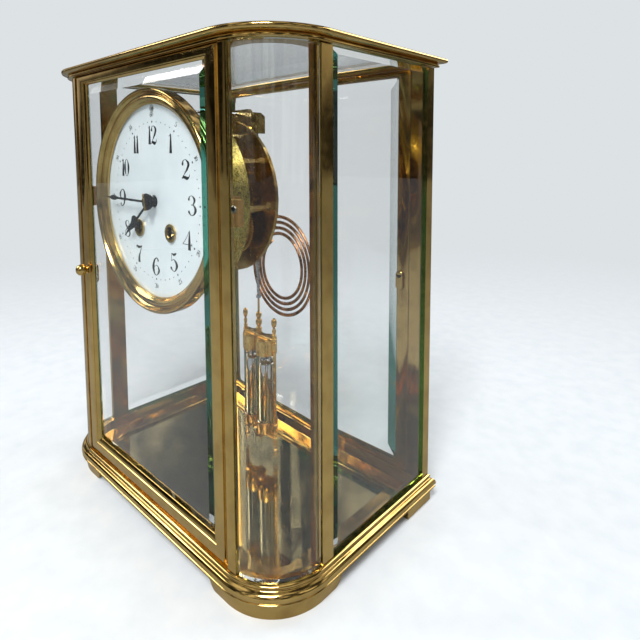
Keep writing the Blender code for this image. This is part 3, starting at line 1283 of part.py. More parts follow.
def make_cock():
    """Bridge on the back plate for the anchor's rear pivot, the regulating arbor and the suspension."""
    low, high = PIVOT_HEIGHT - COCK_DROP, PIVOT_HEIGHT + COCK_RISE
    back = COCK_DEPTH + COCK_THICKNESS
    outline = [
        (-COCK_HALF_WIDTH, low), (COCK_HALF_WIDTH, low), (COCK_HALF_WIDTH, high - COCK_CHAMFER),
        (COCK_HALF_WIDTH - COCK_CHAMFER, high), (COCK_CHAMFER - COCK_HALF_WIDTH, high),
        (-COCK_HALF_WIDTH, high - COCK_CHAMFER),
    ]
    holes = [circle(ANCHOR, PIVOT_RADIUS + RUNNING_GAP, 8), circle(REGULATOR, REGULATOR_RADIUS + GAP, 10)]
    cock = plate("suspension_cock", [outline, *holes], COCK_DEPTH, back, MOVEMENT_BRASS)
    for side in (-1, 1):
        foot = [
            (COCK_FOOT_RADIUS, BACK_PLATE_BACK + GAP), (COCK_FOOT_RADIUS, COCK_DEPTH + COCK_THICKNESS / 2),
        ]
        place = (side * COCK_FOOT_SIDE, PIVOT_HEIGHT + COCK_FOOT_RISE)
        fuse(cock, turned_back("foot", foot, place, 12, MOVEMENT_BRASS))
    arm_end = COCK_DEPTH + COCK_ARM_REACH
    arm_top = high - COCK_ARM_STEP
    arm = [
        (back - COCK_THICKNESS / 2, PIVOT_HEIGHT + COCK_ARM_BOTTOM),
        (arm_end, PIVOT_HEIGHT + COCK_ARM_BOTTOM),
        (arm_end, high - COCK_CHAMFER), (arm_end - COCK_CHAMFER, arm_top),
        (back - COCK_THICKNESS / 2, arm_top),
    ]
    fuse(cock, prism_across("arm", arm, -COCK_ARM_HALF_WIDTH, COCK_ARM_HALF_WIDTH, MOVEMENT_BRASS))
    slot_front = PENDULUM_DEPTH - SPRING_WIDTH / 2 - 2 * GAP
    slot = rectangle(-COCK_SLOT_HALF_WIDTH, COCK_SLOT_HALF_WIDTH, low, PIVOT_HEIGHT + COCK_SLOT_ROOF)
    cut(cock, prism_back("slot", slot, slot_front, arm_end + CUT_OVERRUN, MOVEMENT_BRASS))
    relief = [(REGULATOR_RADIUS + GAP, COCK_DEPTH - CUT_OVERRUN), (REGULATOR_RADIUS + GAP, back + 3 * GAP)]
    cut(cock, turned_back("relief", relief, REGULATOR, 10, MOVEMENT_BRASS))
    reach = COCK_ARM_HALF_WIDTH + CUT_OVERRUN
    for rise in COCK_HOLE_RISES:
        origin = (-reach, at_depth(COCK_HOLE_DEPTH), PIVOT_HEIGHT + rise)
        hole = [(COCK_HOLE_RADIUS, 0.0), (COCK_HOLE_RADIUS, 2 * reach)]
        cut(cock, turned("hole", hole, origin, (1, 0, 0), 10, MOVEMENT_BRASS))
    profile = [
        (REGULATOR_RADIUS * 0.8, DIAL_DEPTH + GAP), (REGULATOR_RADIUS, DIAL_DEPTH + 2 * GAP),
        (REGULATOR_RADIUS, back),
    ]
    arbor_piece = turned_back("regulating_arbor", profile, REGULATOR, 8, STEEL)
    on_axis(arbor_piece, REGULATOR)


def pendulum_point(x=0.0):
    return (x, at_depth(PENDULUM_DEPTH))


def hang(piece):
    """Origin of what swings with the pendulum."""
    return set_origin(piece, (0.0, at_depth(PENDULUM_DEPTH), PIVOT_HEIGHT))


def make_pendulum():
    """Rod with its suspension spring, and the frame that holds two glass vials of mercury."""
    y = at_depth(PENDULUM_DEPTH)
    spring_top = PIVOT_HEIGHT + SPRING_HALF_LENGTH
    spring_bottom = PIVOT_HEIGHT - SPRING_HALF_LENGTH
    block = SPRING_BLOCK_HALF_WIDTH
    half = SPRING_WIDTH / 2
    strip = rectangle(-SPRING_THICKNESS / 2, SPRING_THICKNESS / 2, y - half, y + half)
    square = rectangle(-block, block, y - half, y + half)
    rod = turned_up(
        "pendulum_rod",
        [(ROD_RADIUS * 1.6, ROD_FOOT_HEIGHT), (ROD_RADIUS * 1.6, ROD_FOOT_HEIGHT + 2 * ROD_RADIUS),
         (ROD_RADIUS, ROD_FOOT_HEIGHT + 3 * ROD_RADIUS), (ROD_RADIUS, spring_bottom)],
        pendulum_point(), 12, STEEL,
    )
    fuse(
        rod,
        prism_up("lower_block", square, spring_bottom - SPRING_BLOCK_HEIGHT, spring_bottom + GAP, BRASS),
        prism_up("strip", strip, spring_bottom - GAP, spring_top + GAP, STEEL),
        prism_up("upper_block", square, spring_top, PIVOT_HEIGHT + COCK_SLOT_ROOF - GAP, BRASS),
    )
    hang(rod)
    make_pendulum_frame(y)
    for side in (-1, 1):
        place = pendulum_point(side * VIAL_SIDE)
        bore = VIAL_RADIUS - VIAL_WALL
        top = VIAL_BOTTOM + VIAL_LENGTH
        floor = VIAL_BOTTOM + VIAL_FLOOR
        vial = turned_up(
            "vial_" + side_name(side),
            [
                (VIAL_RADIUS * 0.9, VIAL_BOTTOM), (VIAL_RADIUS, VIAL_BOTTOM + VIAL_FLOOR / 2),
                (VIAL_RADIUS, top), (bore, top), (bore, floor + VIAL_FLOOR / 2), (bore * 0.9, floor),
            ],
            place, VIAL_STEPS, GLASS,
        )
        fill = bore - GAP
        mercury = turned_up(
            "mercury_" + side_name(side),
            [
                (fill * 0.86, floor + GAP), (fill, floor + VIAL_FLOOR), (fill, MERCURY_LEVEL - GAP),
                (fill * 0.8, MERCURY_LEVEL),
            ],
            place, VIAL_STEPS, MERCURY,
        )
        frame = bpy.data.objects["pendulum_frame"]
        for piece in (vial, mercury):
            ride(hang(piece), frame)
    ride(bpy.data.objects["pendulum_frame"], rod)


def make_pendulum_frame(y):
    """Two turned columns, the bars between them, a cap and a cup for each vial, and the stem."""
    vial_top = VIAL_BOTTOM + VIAL_LENGTH
    cap_top = vial_top + CAP_HEIGHT
    cup_bottom = VIAL_BOTTOM - GAP - CAP_HEIGHT + CAP_OVERLAP
    bar_reach = COLUMN_SIDE
    frame = prism_up(
        "pendulum_frame", rectangle(-bar_reach, bar_reach, y - BAR_HALF_DEPTH, y + BAR_HALF_DEPTH),
        cap_top - BAR_THICKNESS, cap_top, BRASS,
    )
    lower = prism_up(
        "lower", rectangle(-bar_reach, bar_reach, y - BAR_HALF_DEPTH, y + BAR_HALF_DEPTH),
        cup_bottom, cup_bottom + BAR_THICKNESS, BRASS,
    )
    height = COLUMN_TOP - COLUMN_BOTTOM
    profile = [(COLUMN_RADIUS * radius, COLUMN_BOTTOM + height * share) for radius, share in COLUMN_SHARES]
    for side in (-1, 1):
        fuse(frame, turned_up("column", profile, pendulum_point(side * COLUMN_SIDE), COLUMN_STEPS, BRASS))
    fuse(frame, lower)
    for side in (-1, 1):
        place = pendulum_point(side * VIAL_SIDE)
        neck = VIAL_RADIUS + GAP
        cap = [
            (neck, vial_top - CAP_OVERLAP), (CAP_RADIUS, vial_top - CAP_OVERLAP),
            (CAP_RADIUS, cap_top - BAR_THICKNESS / 2),
            (CAP_RADIUS * 0.8, cap_top - BAR_THICKNESS / 3),
        ]
        cup = [
            (CAP_RADIUS * 0.7, cup_bottom + BAR_THICKNESS / 3), (CAP_RADIUS, cup_bottom + BAR_THICKNESS),
            (CAP_RADIUS, VIAL_BOTTOM + CAP_OVERLAP), (neck, VIAL_BOTTOM + CAP_OVERLAP),
        ]
        fuse(
            frame,
            turned_up(
                "cap", [(neck * 0.5, vial_top + GAP), (neck, vial_top + GAP), *cap], place, VIAL_STEPS,
                BRASS,
            ),
            turned_up(
                "cup", [*cup, (neck, VIAL_BOTTOM - GAP), (neck * 0.5, VIAL_BOTTOM - GAP)], place,
                VIAL_STEPS, BRASS,
            ),
        )
    stem_bottom, stem_top = cap_top - BAR_THICKNESS / 2, ROD_FOOT_HEIGHT - GAP
    stem = [
        (STEM_RADIUS * radius, stem_bottom + (stem_top - stem_bottom) * share)
        for radius, share in STEM_SHARES
    ]
    screw = [
        (NUT_STEM_RADIUS, cup_bottom - NUT_STEM_LENGTH), (NUT_STEM_RADIUS, cup_bottom + BAR_THICKNESS / 2),
    ]
    fuse(
        frame,
        turned_up("stem", stem, pendulum_point(), 10, BRASS),
        turned_up("screw", screw, pendulum_point(), 10, BRASS),
    )
    hang(frame)
    nut_top = cup_bottom - RATING_NUT_LIFT
    bore = NUT_STEM_RADIUS + GAP
    radius = RATING_NUT_RADIUS
    nut = turned_up(
        "rating_nut",
        [
            (bore, nut_top - RATING_NUT_HEIGHT), (radius * 0.7, nut_top - RATING_NUT_HEIGHT),
            (radius * 0.85, nut_top - RATING_NUT_HEIGHT * 0.65),
            (radius * 0.85, nut_top - RATING_NUT_HEIGHT * 0.3),
            (radius * 0.5, nut_top), (bore, nut_top),
        ],
        pendulum_point(), 14, BRASS, closed=True,
    )
    lobe = [
        (radius * RATING_NUT_LOBE_SHARE, nut_top - RATING_NUT_HEIGHT * share) for share in (0.7, 0.25)
    ]
    rim = circle((0.0, y), radius * (1 - RATING_NUT_LOBE_SHARE), RATING_NUT_LOBES)
    fuse(nut, *[turned_up("lobe", lobe, place, 6, BRASS) for place in rim])
    ride(set_origin(nut, (0.0, y, nut_top)), frame)


def gong_points():
    """Middle line of the gong: a flat spiral that winds inwards, with a short straight piece at each end."""
    points = []
    for i in range(GONG_TURNS * LOOP_POINTS + 1):
        angle = GONG_START - 2 * math.pi * i / LOOP_POINTS
        radius = GONG_RADIUS - GONG_PITCH * i / LOOP_POINTS
        points.append(np.array([radius * math.cos(angle), 0.0, GONG_HEIGHT + radius * math.sin(angle)]))
    lead = points[0] - points[1]
    tail = points[-1] - points[-2]
    points.insert(0, points[0] + lead / np.linalg.norm(lead) * 2 * GONG_WIRE)
    points.append(points[-1] + tail / np.linalg.norm(tail) * 2 * GONG_WIRE)
    return [point + np.array([0.0, at_depth(GONG_DEPTH), 0.0]) for point in points]


def least_gap(points):
    """Least clear distance of the wire to itself, between points more than half a turn apart along it."""
    places = np.array(points)
    least = math.inf
    for i in range(len(places) - LOOP_POINTS // 2):
        others = places[i + LOOP_POINTS // 2:]
        least = min(least, float(np.linalg.norm(others - places[i], axis=1).min()))
    return least - 2 * GONG_WIRE


def make_gong():
    """Spiral gong of round wire as one unbroken tube, and the block and post that hold its outer end."""
    points = gong_points()
    print("least gap of the gong to itself in mm:", round(least_gap(points) / MM, 2))
    curve = bpy.data.curves.new("gong", "CURVE")
    curve.dimensions = "3D"
    curve.bevel_depth = GONG_WIRE
    curve.bevel_resolution = 1
    curve.use_fill_caps = True
    spline = curve.splines.new("POLY")
    spline.points.add(len(points) - 1)
    for place, point in zip(spline.points, points):
        place.co = (*point, 1)
    curve.materials.append(GONG_STEEL)
    gong = bpy.data.objects.new("gong", curve)
    bpy.context.scene.collection.objects.link(gong)

    outer = Vector(points[0])
    direction = (outer - Vector(points[1])).normalized()
    middle = outer + direction * (GONG_BLOCK_HALF + GAP)
    x, z = middle.x, middle.z
    block = rectangle(x - GONG_BLOCK_HALF, x + GONG_BLOCK_HALF, z - GONG_BLOCK_HALF, z + GONG_BLOCK_HALF)
    tilt = math.atan2(direction.z, direction.x)
    sine, cosine = math.sin(tilt), math.cos(tilt)
    block = [
        (x + (u - x) * cosine - (v - z) * sine, z + (u - x) * sine + (v - z) * cosine)
        for u, v in block
    ]
    stand = prism_back(
        "gong_stand", block, GONG_DEPTH - GONG_BLOCK_HALF_DEPTH, GONG_DEPTH + GONG_BLOCK_HALF_DEPTH, BRASS,
    )
    post = [
        (GONG_POST_RADIUS * 1.4, BACK_PLATE_BACK + GAP),
        (GONG_POST_RADIUS * 1.4, BACK_PLATE_BACK + GONG_POST_RADIUS),
        (GONG_POST_RADIUS, BACK_PLATE_BACK + 2 * GONG_POST_RADIUS), (GONG_POST_RADIUS, GONG_DEPTH),
    ]
    fuse(stand, turned_back("post", post, (x, z), 12, BRASS))


def make_hammer():
    """Strike hammer: arbor, tail for the pins of the strike wheel, wire and head by the gong."""
    piece = arbor("hammer", HAMMER, ARBOR_RADIUS, STEEL, back=HAMMER_ARBOR_END)
    outward = Vector((math.cos(HAMMER_ANGLE), 0, math.sin(HAMMER_ANGLE)))
    face = Vector((0, at_depth(GONG_DEPTH), GONG_HEIGHT)) + outward * (
        GONG_RADIUS + GONG_WIRE + HAMMER_REST_GAP
    )
    head = [
        (HAMMER_HEAD_RADIUS * 0.6, 0.0), (HAMMER_HEAD_RADIUS, HAMMER_HEAD_RADIUS * 0.5),
        (HAMMER_HEAD_RADIUS, HAMMER_HEAD_LENGTH - HAMMER_HEAD_RADIUS * 0.3),
        (HAMMER_HEAD_RADIUS * 0.8, HAMMER_HEAD_LENGTH),
    ]
    head_middle = face + outward * HAMMER_HEAD_LENGTH / 2
    start = Vector((HAMMER[0], at_depth(HAMMER_ARBOR_END - HAMMER_WIRE_RADIUS * 2), HAMMER[1]))
    bend = Vector(
        (HAMMER[0], at_depth(GONG_DEPTH) - HAMMER_HEAD_LENGTH, HAMMER[1] - HAMMER_HEAD_LENGTH / 2)
    )
    reach = distance(HAMMER, STRIKE) - STRIKE_PIN_CIRCLE - STRIKE_PIN_RADIUS - HAMMER_TAIL_GAP
    aim = heading(HAMMER, STRIKE)
    half = ARBOR_RADIUS * 0.9
    tail = [
        (
            HAMMER[0] + u * math.cos(aim) - v * math.sin(aim),
            HAMMER[1] + u * math.sin(aim) + v * math.cos(aim),
        )
        for u, v in rectangle(0.0, reach, -half, half)
    ]
    fuse(
        piece,
        prism_back("tail", tail, HAMMER_TAIL_DEPTH, HAMMER_TAIL_DEPTH + WHEEL_THICKNESS, STEEL),
        bent_wire(
            [
                start, start.lerp(bend, 0.55), bend.lerp(start, 0.12), bend.lerp(head_middle, 0.3),
                head_middle,
            ]
        ),
        turned("head", head, face, outward, 14, BRASS),
    )
    on_axis(piece, HAMMER)


def bent_wire(points):
    """Wire with rounded bends as one skin of six-sided rings, each square to the path."""
    rings = []
    for i, point in enumerate(points):
        before, after = points[max(i - 1, 0)], points[min(i + 1, len(points) - 1)]
        along = (after - before).normalized()
        across = along.cross(Vector((1, 0, 0))).normalized()
        other = along.cross(across)
        angles = [math.pi * k / 3 for k in range(6)]
        rings.append(
            [point + (across * math.cos(a) + other * math.sin(a)) * HAMMER_WIRE_RADIUS for a in angles]
        )
    return skin("wire", rings, False, STEEL)


def make_movement():
    make_dial()
    make_brackets()
    make_going_train()
    fly_centre = make_strike_train()
    make_plates(fly_centre)
    for side, centre in ((-1, STRIKE_BARREL), (1, GOING_BARREL)):
        make_winding_arbor(side, centre)
    make_hands()
    make_anchor()
    make_cock()
    make_gong()
    make_hammer()


make_case()
make_movement()
make_pendulum()
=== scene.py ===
import json
import math

import bmesh
import bpy
import numpy as np
from mathutils import Matrix, Vector


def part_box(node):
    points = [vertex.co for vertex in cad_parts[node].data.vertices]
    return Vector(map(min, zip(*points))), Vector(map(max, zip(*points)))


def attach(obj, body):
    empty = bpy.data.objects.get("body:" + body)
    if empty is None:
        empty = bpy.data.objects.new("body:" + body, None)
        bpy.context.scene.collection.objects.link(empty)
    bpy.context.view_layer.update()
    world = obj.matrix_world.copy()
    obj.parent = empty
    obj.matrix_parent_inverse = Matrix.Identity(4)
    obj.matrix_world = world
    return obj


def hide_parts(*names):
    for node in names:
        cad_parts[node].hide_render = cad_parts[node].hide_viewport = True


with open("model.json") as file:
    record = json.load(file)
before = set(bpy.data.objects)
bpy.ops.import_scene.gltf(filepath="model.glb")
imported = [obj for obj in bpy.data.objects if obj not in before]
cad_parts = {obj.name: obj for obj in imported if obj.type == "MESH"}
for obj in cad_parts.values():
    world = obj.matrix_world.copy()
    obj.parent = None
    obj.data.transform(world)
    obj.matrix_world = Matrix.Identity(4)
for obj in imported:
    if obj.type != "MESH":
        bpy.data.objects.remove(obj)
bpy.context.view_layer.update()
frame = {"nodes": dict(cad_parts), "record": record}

# Crystal regulator clock. Metres, +Z up, the dial faces -Y. Depths run back from the front door's outer face.
# An EASE is the radius that rounds a profile's corners. A profile lists shares of its piece's measures.
MM = 0.001
TURN = 2 * math.pi
DEGREE = math.pi / 180
GAP = 0.3 * MM
WELD = 0.002 * MM

# Case
FRONT = -55.1 * MM
SIDE = 91.4 * MM
CORNER_RADIUS = 27.7 * MM
CORNER_STEPS = 28
CENTRE_SIDE = SIDE - CORNER_RADIUS
BASE_OVERHANG = 3.2 * MM
BASE_PROFILE = (
    (0.76, 0.0), (0.94, 0.04), (0.94, 0.13), (0.78, 0.16), (0.97, 0.25), (1.0, 0.38), (0.9, 0.52),
    (0.66, 0.63), (0.26, 0.69), (0.18, 0.77), (0.31, 0.82), (0.31, 0.93), (0.0, 1.0),
)
BASE_WALL = 7.0 * MM
BASE_FLANGE = 17.0 * MM
BASE_FLANGE_THICKNESS = 1.1 * MM
BASE_EASE = 0.35 * MM
TOP_OVERHANG = 4.8 * MM
TOP_PROFILE = (
    (0.38, 0.0), (0.38, 0.27), (0.2, 0.36), (0.68, 0.4), (0.94, 0.5), (1.0, 0.64), (1.0, 0.8),
    (0.9, 0.94), (0.72, 1.0),
)
TOP_LEDGE_REACH = 12.4 * MM
TOP_LEDGE_THICKNESS = 1.3 * MM
TOP_GLASS_SEAT = 1.7 * MM
TOP_GLASS_BEVEL = 7.0 * MM
TOP_GLASS_EDGE = 1.0 * MM
TOP_EASE = 0.3 * MM
FOOT_OVERHANG = 1.0 * MM
FOOT_BAND = 13.0 * MM
FOOT_CHAMFER = 0.6 * MM
FOOT_CURVE = 3.6 * MM
FOOT_CURVE_SHARE = 0.98
FRONT_FOOT_REACH = 11.3 * MM
SIDE_FOOT_REACH = 10.9 * MM
GLASS_INSET = 0.5 * MM
GLASS_THICKNESS = 3.0 * MM
GLASS_EDGE = 2.7 * MM
GLASS_BEVEL = 0.3 * MM
FRONT_POST_WIDTH = 5.0 * MM
FRONT_POST_DEPTH = 3.8 * MM
POST_EASE = 0.25 * MM

# Doors and knobs
DOOR_PROFILE = (
    (0.0, 1.0), (0.0, 0.4), (0.03, 0.2), (0.145, 0.18), (0.16, 0.0), (0.7, 0.0), (0.73, 0.12),
    (0.81, 0.12), (1.0, 0.32), (1.0, 0.44), (0.72, 0.44), (0.72, 1.0),
)
DOOR_EASE_SHARE = 0.035
DOOR_PIN = 2.3 * MM
FRONT_DOOR_WIDTHS = {"stile": 10.4 * MM, "bottom": 9.0 * MM, "top": 4.9 * MM}
REAR_DOOR_WIDTHS = {"stile": 9.8 * MM, "bottom": 3.5 * MM, "top": 3.5 * MM}
KNOB_RADIUS = 3.2 * MM
KNOB_PROJECTION = 6.2 * MM
KNOB_PROFILE = (
    (0.0, 1.0), (0.12, 1.0), (0.5, 0.95), (0.84, 0.79), (1.0, 0.55), (0.9, 0.32), (0.56, 0.15),
    (0.5, 0.1), (0.76, 0.08),
)
KNOB_EASE = 0.3 * MM
KNOB_COLLAR_RADIUS = 2.43 * MM
KNOB_STEM_RADIUS = 1.3 * MM
KNOB_RIVET_RADIUS = 2.0 * MM
TONGUE_THICKNESS = 1.2 * MM
TONGUE_HALF_WIDTH = 2.0 * MM
TONGUE_REACH = 8.6 * MM

# Dial
DIAL_HEIGHT = 160.8 * MM
DIAL_DEPTH = 10.6 * MM
DIAL_BACK = 12.2 * MM
DIAL_OPENING_RADIUS = 46.0 * MM
BEZEL_RADIUS = 53.4 * MM
BEZEL_FRONT = 4.2 * MM
BEZEL_PROFILE = (
    (1.0, 0.18), (1.0, 0.8), (0.93, 1.0), (0.8, 1.0), (0.74, 0.78), (0.62, 0.52), (0.5, 0.7),
    (0.36, 0.76), (0.2, 0.58), (0.08, 0.34), (0.0, 0.28),
)
BEZEL_EASE = 0.35 * MM
DIAL_RADIUS = 47.5 * MM
NUMERAL_CIRCLE = 31.6 * MM
TWO_DIGIT_SQUEEZE = 0.78
MINUTE_CIRCLE = 37.9 * MM
MINUTE_DOT = 0.3 * MM
FIVE_MINUTE_DOT = 0.5 * MM
SMALL_NUMERAL_CIRCLE = 41.3 * MM
SMALL_NUMERAL_SCALE = 0.27
SMALL_NUMERAL_SQUEEZE = 0.85
UPSIDE_DOWN = (100 * DEGREE, 260 * DEGREE)
DIGIT_SPACING = 0.6 * MM
LEAST_STROKE = 0.01 * MM
PAINT_THICKNESS = 0.04 * MM

# Movement ring and the brackets that hold it
RING_RADIUS = 42.6 * MM
RING_BORE = 40.3 * MM
RING_FLANGE_BACK = 13.4 * MM
RING_BACK = 32.4 * MM
RING_SKIN = 0.05 * MM
RING_EASE = 0.4 * MM
BRACKET_HALF_HEIGHT = 5.2 * MM
BRACKET_OUTER = 70.9 * MM
BRACKET_FOOT = 2.5 * MM
BRACKET_WEB = (54.6 * MM, 56.8 * MM)
BRACKET_ARM = (13.7 * MM, 15.9 * MM)
BRACKET_EASE = 0.6 * MM
SCREW_PLACE = (68.5 * MM, 162.4 * MM)
# Bracket screw, and the near black disc of painted shade in the hollow of its head, in mm: (radius, depth
# from the bracket's front)
SCREW_PROFILE = ((1.5, 0.0), (1.5, -0.4), (1.3, -0.6), (0.9, -0.6), (0.75, -0.15), (0.0, -0.15))
SHADE_DISC_PROFILE = ((0.8, -0.12), (0.8, -0.25), (0.0, -0.25))
SCREW_EASE = 0.1 * MM

# Dome in front of the hands, in shares of its radius and thickness, and the taper pin
DOME_SHARES = {"radius": 0.75, "washer": 0.45, "shoulder": 0.95, "edge": 0.3}
DOME_EASE = 0.05 * MM
PIN_LENGTH = 8.2 * MM
PIN_RADII = (0.62 * MM, 0.38 * MM)
PIN_TILT = -14 * DEGREE
PIN_END_SHARES = (0.8, 0.95)

# Pendulum
PENDULUM_Y = FRONT + 72.0 * MM
VIAL_SIDE = 6.9 * MM
VIAL_RADIUS = 6.2 * MM
VIAL_WALL = 0.9 * MM
VIAL_FLOOR = 1.2 * MM
VIAL_BOTTOM = 28.7 * MM
VIAL_TOP = 71.0 * MM
MERCURY_LEVEL = 65.0 * MM
COLUMN_SIDE = 14.4 * MM
COLUMN_BOTTOM = 8.9 * MM
COLUMN_TOP = 91.5 * MM
COLUMN_RADIUS = 1.6 * MM
COLUMN_PROFILE = (
    (0.0, 0.0), (0.2, 0.0), (0.45, 0.012), (0.35, 0.022), (0.7, 0.034), (0.95, 0.05), (0.7, 0.066),
    (0.5, 0.07), (0.85, 0.082), (0.85, 0.092), (0.5, 0.1), (0.9, 0.112), (1.1, 0.13), (0.9, 0.148),
    (0.55, 0.153), (1.0, 0.165), (1.0, 0.178), (0.7, 0.185), (1.0, 0.19), (1.0, 0.245), (0.6, 0.25),
    (0.6, 0.765), (1.0, 0.77), (1.0, 0.822), (0.65, 0.828), (1.0, 0.84), (1.0, 0.852), (0.6, 0.858),
    (0.9, 0.868), (0.9, 0.878), (0.5, 0.886), (0.75, 0.9), (0.85, 0.912), (0.4, 0.925), (0.5, 0.932),
    (0.95, 0.948), (1.12, 0.966), (0.95, 0.984), (0.5, 0.996), (0.0, 1.0),
)
STEM_TOP = 100.2 * MM
STEM_RADIUS = 1.5 * MM
STEM_PROFILE = (
    (0.0, 0.0), (0.9, 0.0), (0.9, 0.12), (1.3, 0.16), (1.3, 0.2), (0.7, 0.24), (1.2, 0.3), (1.45, 0.36),
    (1.2, 0.42), (0.7, 0.46), (1.1, 0.5), (1.3, 0.55), (1.1, 0.6), (0.5, 0.64), (0.45, 0.7), (0.45, 0.97),
    (0.3, 1.0), (0.0, 1.0),
)
CAP_RADIUS = 6.8 * MM
CAP_HEIGHT = 8.6 * MM
CAP_OVERLAP = 1.6 * MM
CAP_CROWN_SHARE = 0.8
CUP_BOWL_SHARE = 0.7
CAP_EASE = 0.4 * MM
BAR_THICKNESS = 2.6 * MM
BAR_HALF_WIDTH = 2.2 * MM
BAR_EASE = 0.3 * MM
TURNED_EASE = 0.5 * MM
RATING_SCREW_RADIUS = 0.9 * MM
RATING_SCREW_REACH = (6.0 * MM, 1.3 * MM)
VIAL_EASE = 0.6 * MM
MERCURY_GAP = 0.05 * MM
MERCURY_EASE = 0.8 * MM
MENISCUS = 0.5 * MM

# Gong
GONG_HEIGHT = 115.0 * MM
GONG_DEPTH = 92.0 * MM
GONG_RADIUS = 31.0 * MM
GONG_PITCH = 3.4 * MM
GONG_WIRE = 1.0 * MM
GONG_TURNS = 4
GONG_START = 125 * DEGREE
GONG_STEPS = 64
WIRE_STEPS = 12

# Finishes and mirrored sky: the range of a noise or a height that is stretched, and the tones it becomes
CLOUD_RANGE = (0.3, 0.7)
TARNISH_RANGE = (0.42, 0.86)
POLISH_RANGE = (0.3, 0.75)
WINDOW_RANGE, WINDOW_TONES = (0.48, 0.6), (0.05, 1.05)
SKY_HEIGHTS, SKY_TONES = (-0.1, 0.6), (0.55, 1.0)
SCRATCH_STRENGTH = 0.25
GLASS_IOR = 1.52
LAMP_THROUGH_GLASS = "#FAFCFB"
ENAMEL_TONES = ("#E9EEF2", "#DFE6EC")
ENAMEL_CLOUD, ENAMEL_PEEL, ENAMEL_PEEL_DEPTH = 14 * MM, 2.5 * MM, 0.02 * MM
BLACK_MOTTLE = "#0B0D12"
BLACK_CLOUD, BLACK_GLOSS_CLOUD = 3 * MM, 1.2 * MM
BLACK_GLOSS_SHARES = (0.8, 1.3)

# Studio: the floor and what it fades into, the lamps (name, place, size, power), a card that darkens brass
BACKGROUND = "#DDE2E5"
FLOOR_REACH = 3.0
FLOOR_FADE = (0.25, 0.8)
MIRRORED_FLOOR = 0.42
MIRRORED_HAZE = 0.3
LAMPS = (
    ("key", (0.55, -0.85, 1.3), 0.5, 26.0), ("fill", (-1.1, -0.7, 0.95), 0.55, 6.0),
    ("back", (0.5, 1.2, 1.0), 0.8, 8.0),
)
LAMP_TARGET = (0, 0, 0.12)
DARK_CARD_WAY = (-0.68, -0.73, 0.0)
DARK_CARD_EDGE = (0.82, 0.93)
DARK_CARD_TONE = 0.2

# Camera, fitted to the photograph: millimetres, radians and the photograph's pixels
EYE = (222.2, -171.9, 183.4)
YAW, PITCH, ROLL = 0.751, -0.088, -0.004
FOCAL_PIXELS, MIDDLE_X, MIDDLE_Y, PIXELS = 509.2, 314.3, 198.4, 640
SENSOR_WIDTH = 36.0
CLIP_START = 0.01


def at_depth(depth):
    """Y of a depth behind the front door's outer face."""
    return FRONT + depth


def colour(code):
    """Linear colour of an sRGB hex code."""
    values = np.array([int(code[i:i + 2], 16) / 255 for i in (1, 3, 5)])
    linear = np.where(values <= 0.04045, values / 12.92, ((values + 0.055) / 1.055) ** 2.4)
    return (*linear.tolist(), 1.0)


def add(tree, kind, inputs=(), **settings):
    """Adds a node with its settings. Inputs gives each socket a value or another node's output."""
    node = tree.nodes.new("ShaderNode" + kind)
    for name, value in settings.items():
        setattr(node, name, value)
    for socket, value in dict(inputs).items():
        if isinstance(value, bpy.types.NodeSocket):
            tree.links.new(value, node.inputs[socket])
        else:
            node.inputs[socket].default_value = value
    return node


def new_material(name):
    """A material with one Principled shader: returns the material, its tree and the shader."""
    made = bpy.data.materials.new(name)
    made.use_nodes = True
    return made, made.node_tree, made.node_tree.nodes["Principled BSDF"]


def noise(tree, size, detail=3.0):
    """Cloudy pattern whose blots are about this size, in metres, on the piece's own coordinates."""
    place = add(tree, "TexCoord").outputs["Object"]
    return add(tree, "TexNoise", {"Vector": place, "Scale": 1 / size, "Detail": detail}).outputs["Fac"]


def ramp(tree, value, low, high, low_end=0.0, high_end=1.0):
    """Stretches a value from one range to another."""
    sockets = {"Value": value, "From Min": low, "From Max": high, "To Min": low_end, "To Max": high_end}
    return add(tree, "MapRange", sockets).outputs[0]


def blend_colours(tree, factor, first, second):
    """Colour that goes from the first to the second as the factor rises."""
    mixed = add(tree, "Mix", data_type="RGBA")
    tree.links.new(factor, mixed.inputs[0])
    mixed.inputs[6].default_value = first
    mixed.inputs[7].default_value = second
    return mixed.outputs[2]


def metal(name, bright, dull, smoothest, roughest, blot, scratch, scratch_depth):
    """Metal with faint clouds of tarnish, uneven polish and fine marks from the cloth."""
    made, tree, shader = new_material(name)
    tarnish = ramp(tree, noise(tree, blot, 6.0), *TARNISH_RANGE)
    tree.links.new(blend_colours(tree, tarnish, colour(bright), colour(dull)), shader.inputs["Base Color"])
    polish = ramp(tree, noise(tree, blot / 3, 4.0), *POLISH_RANGE, smoothest, roughest)
    tree.links.new(polish, shader.inputs["Roughness"])
    marks = noise(tree, scratch, 2.0)
    bump = add(tree, "Bump", {"Height": marks, "Strength": SCRATCH_STRENGTH, "Distance": scratch_depth})
    tree.links.new(bump.outputs[0], shader.inputs["Normal"])
    shader.inputs["Metallic"].default_value = 1.0
    return made


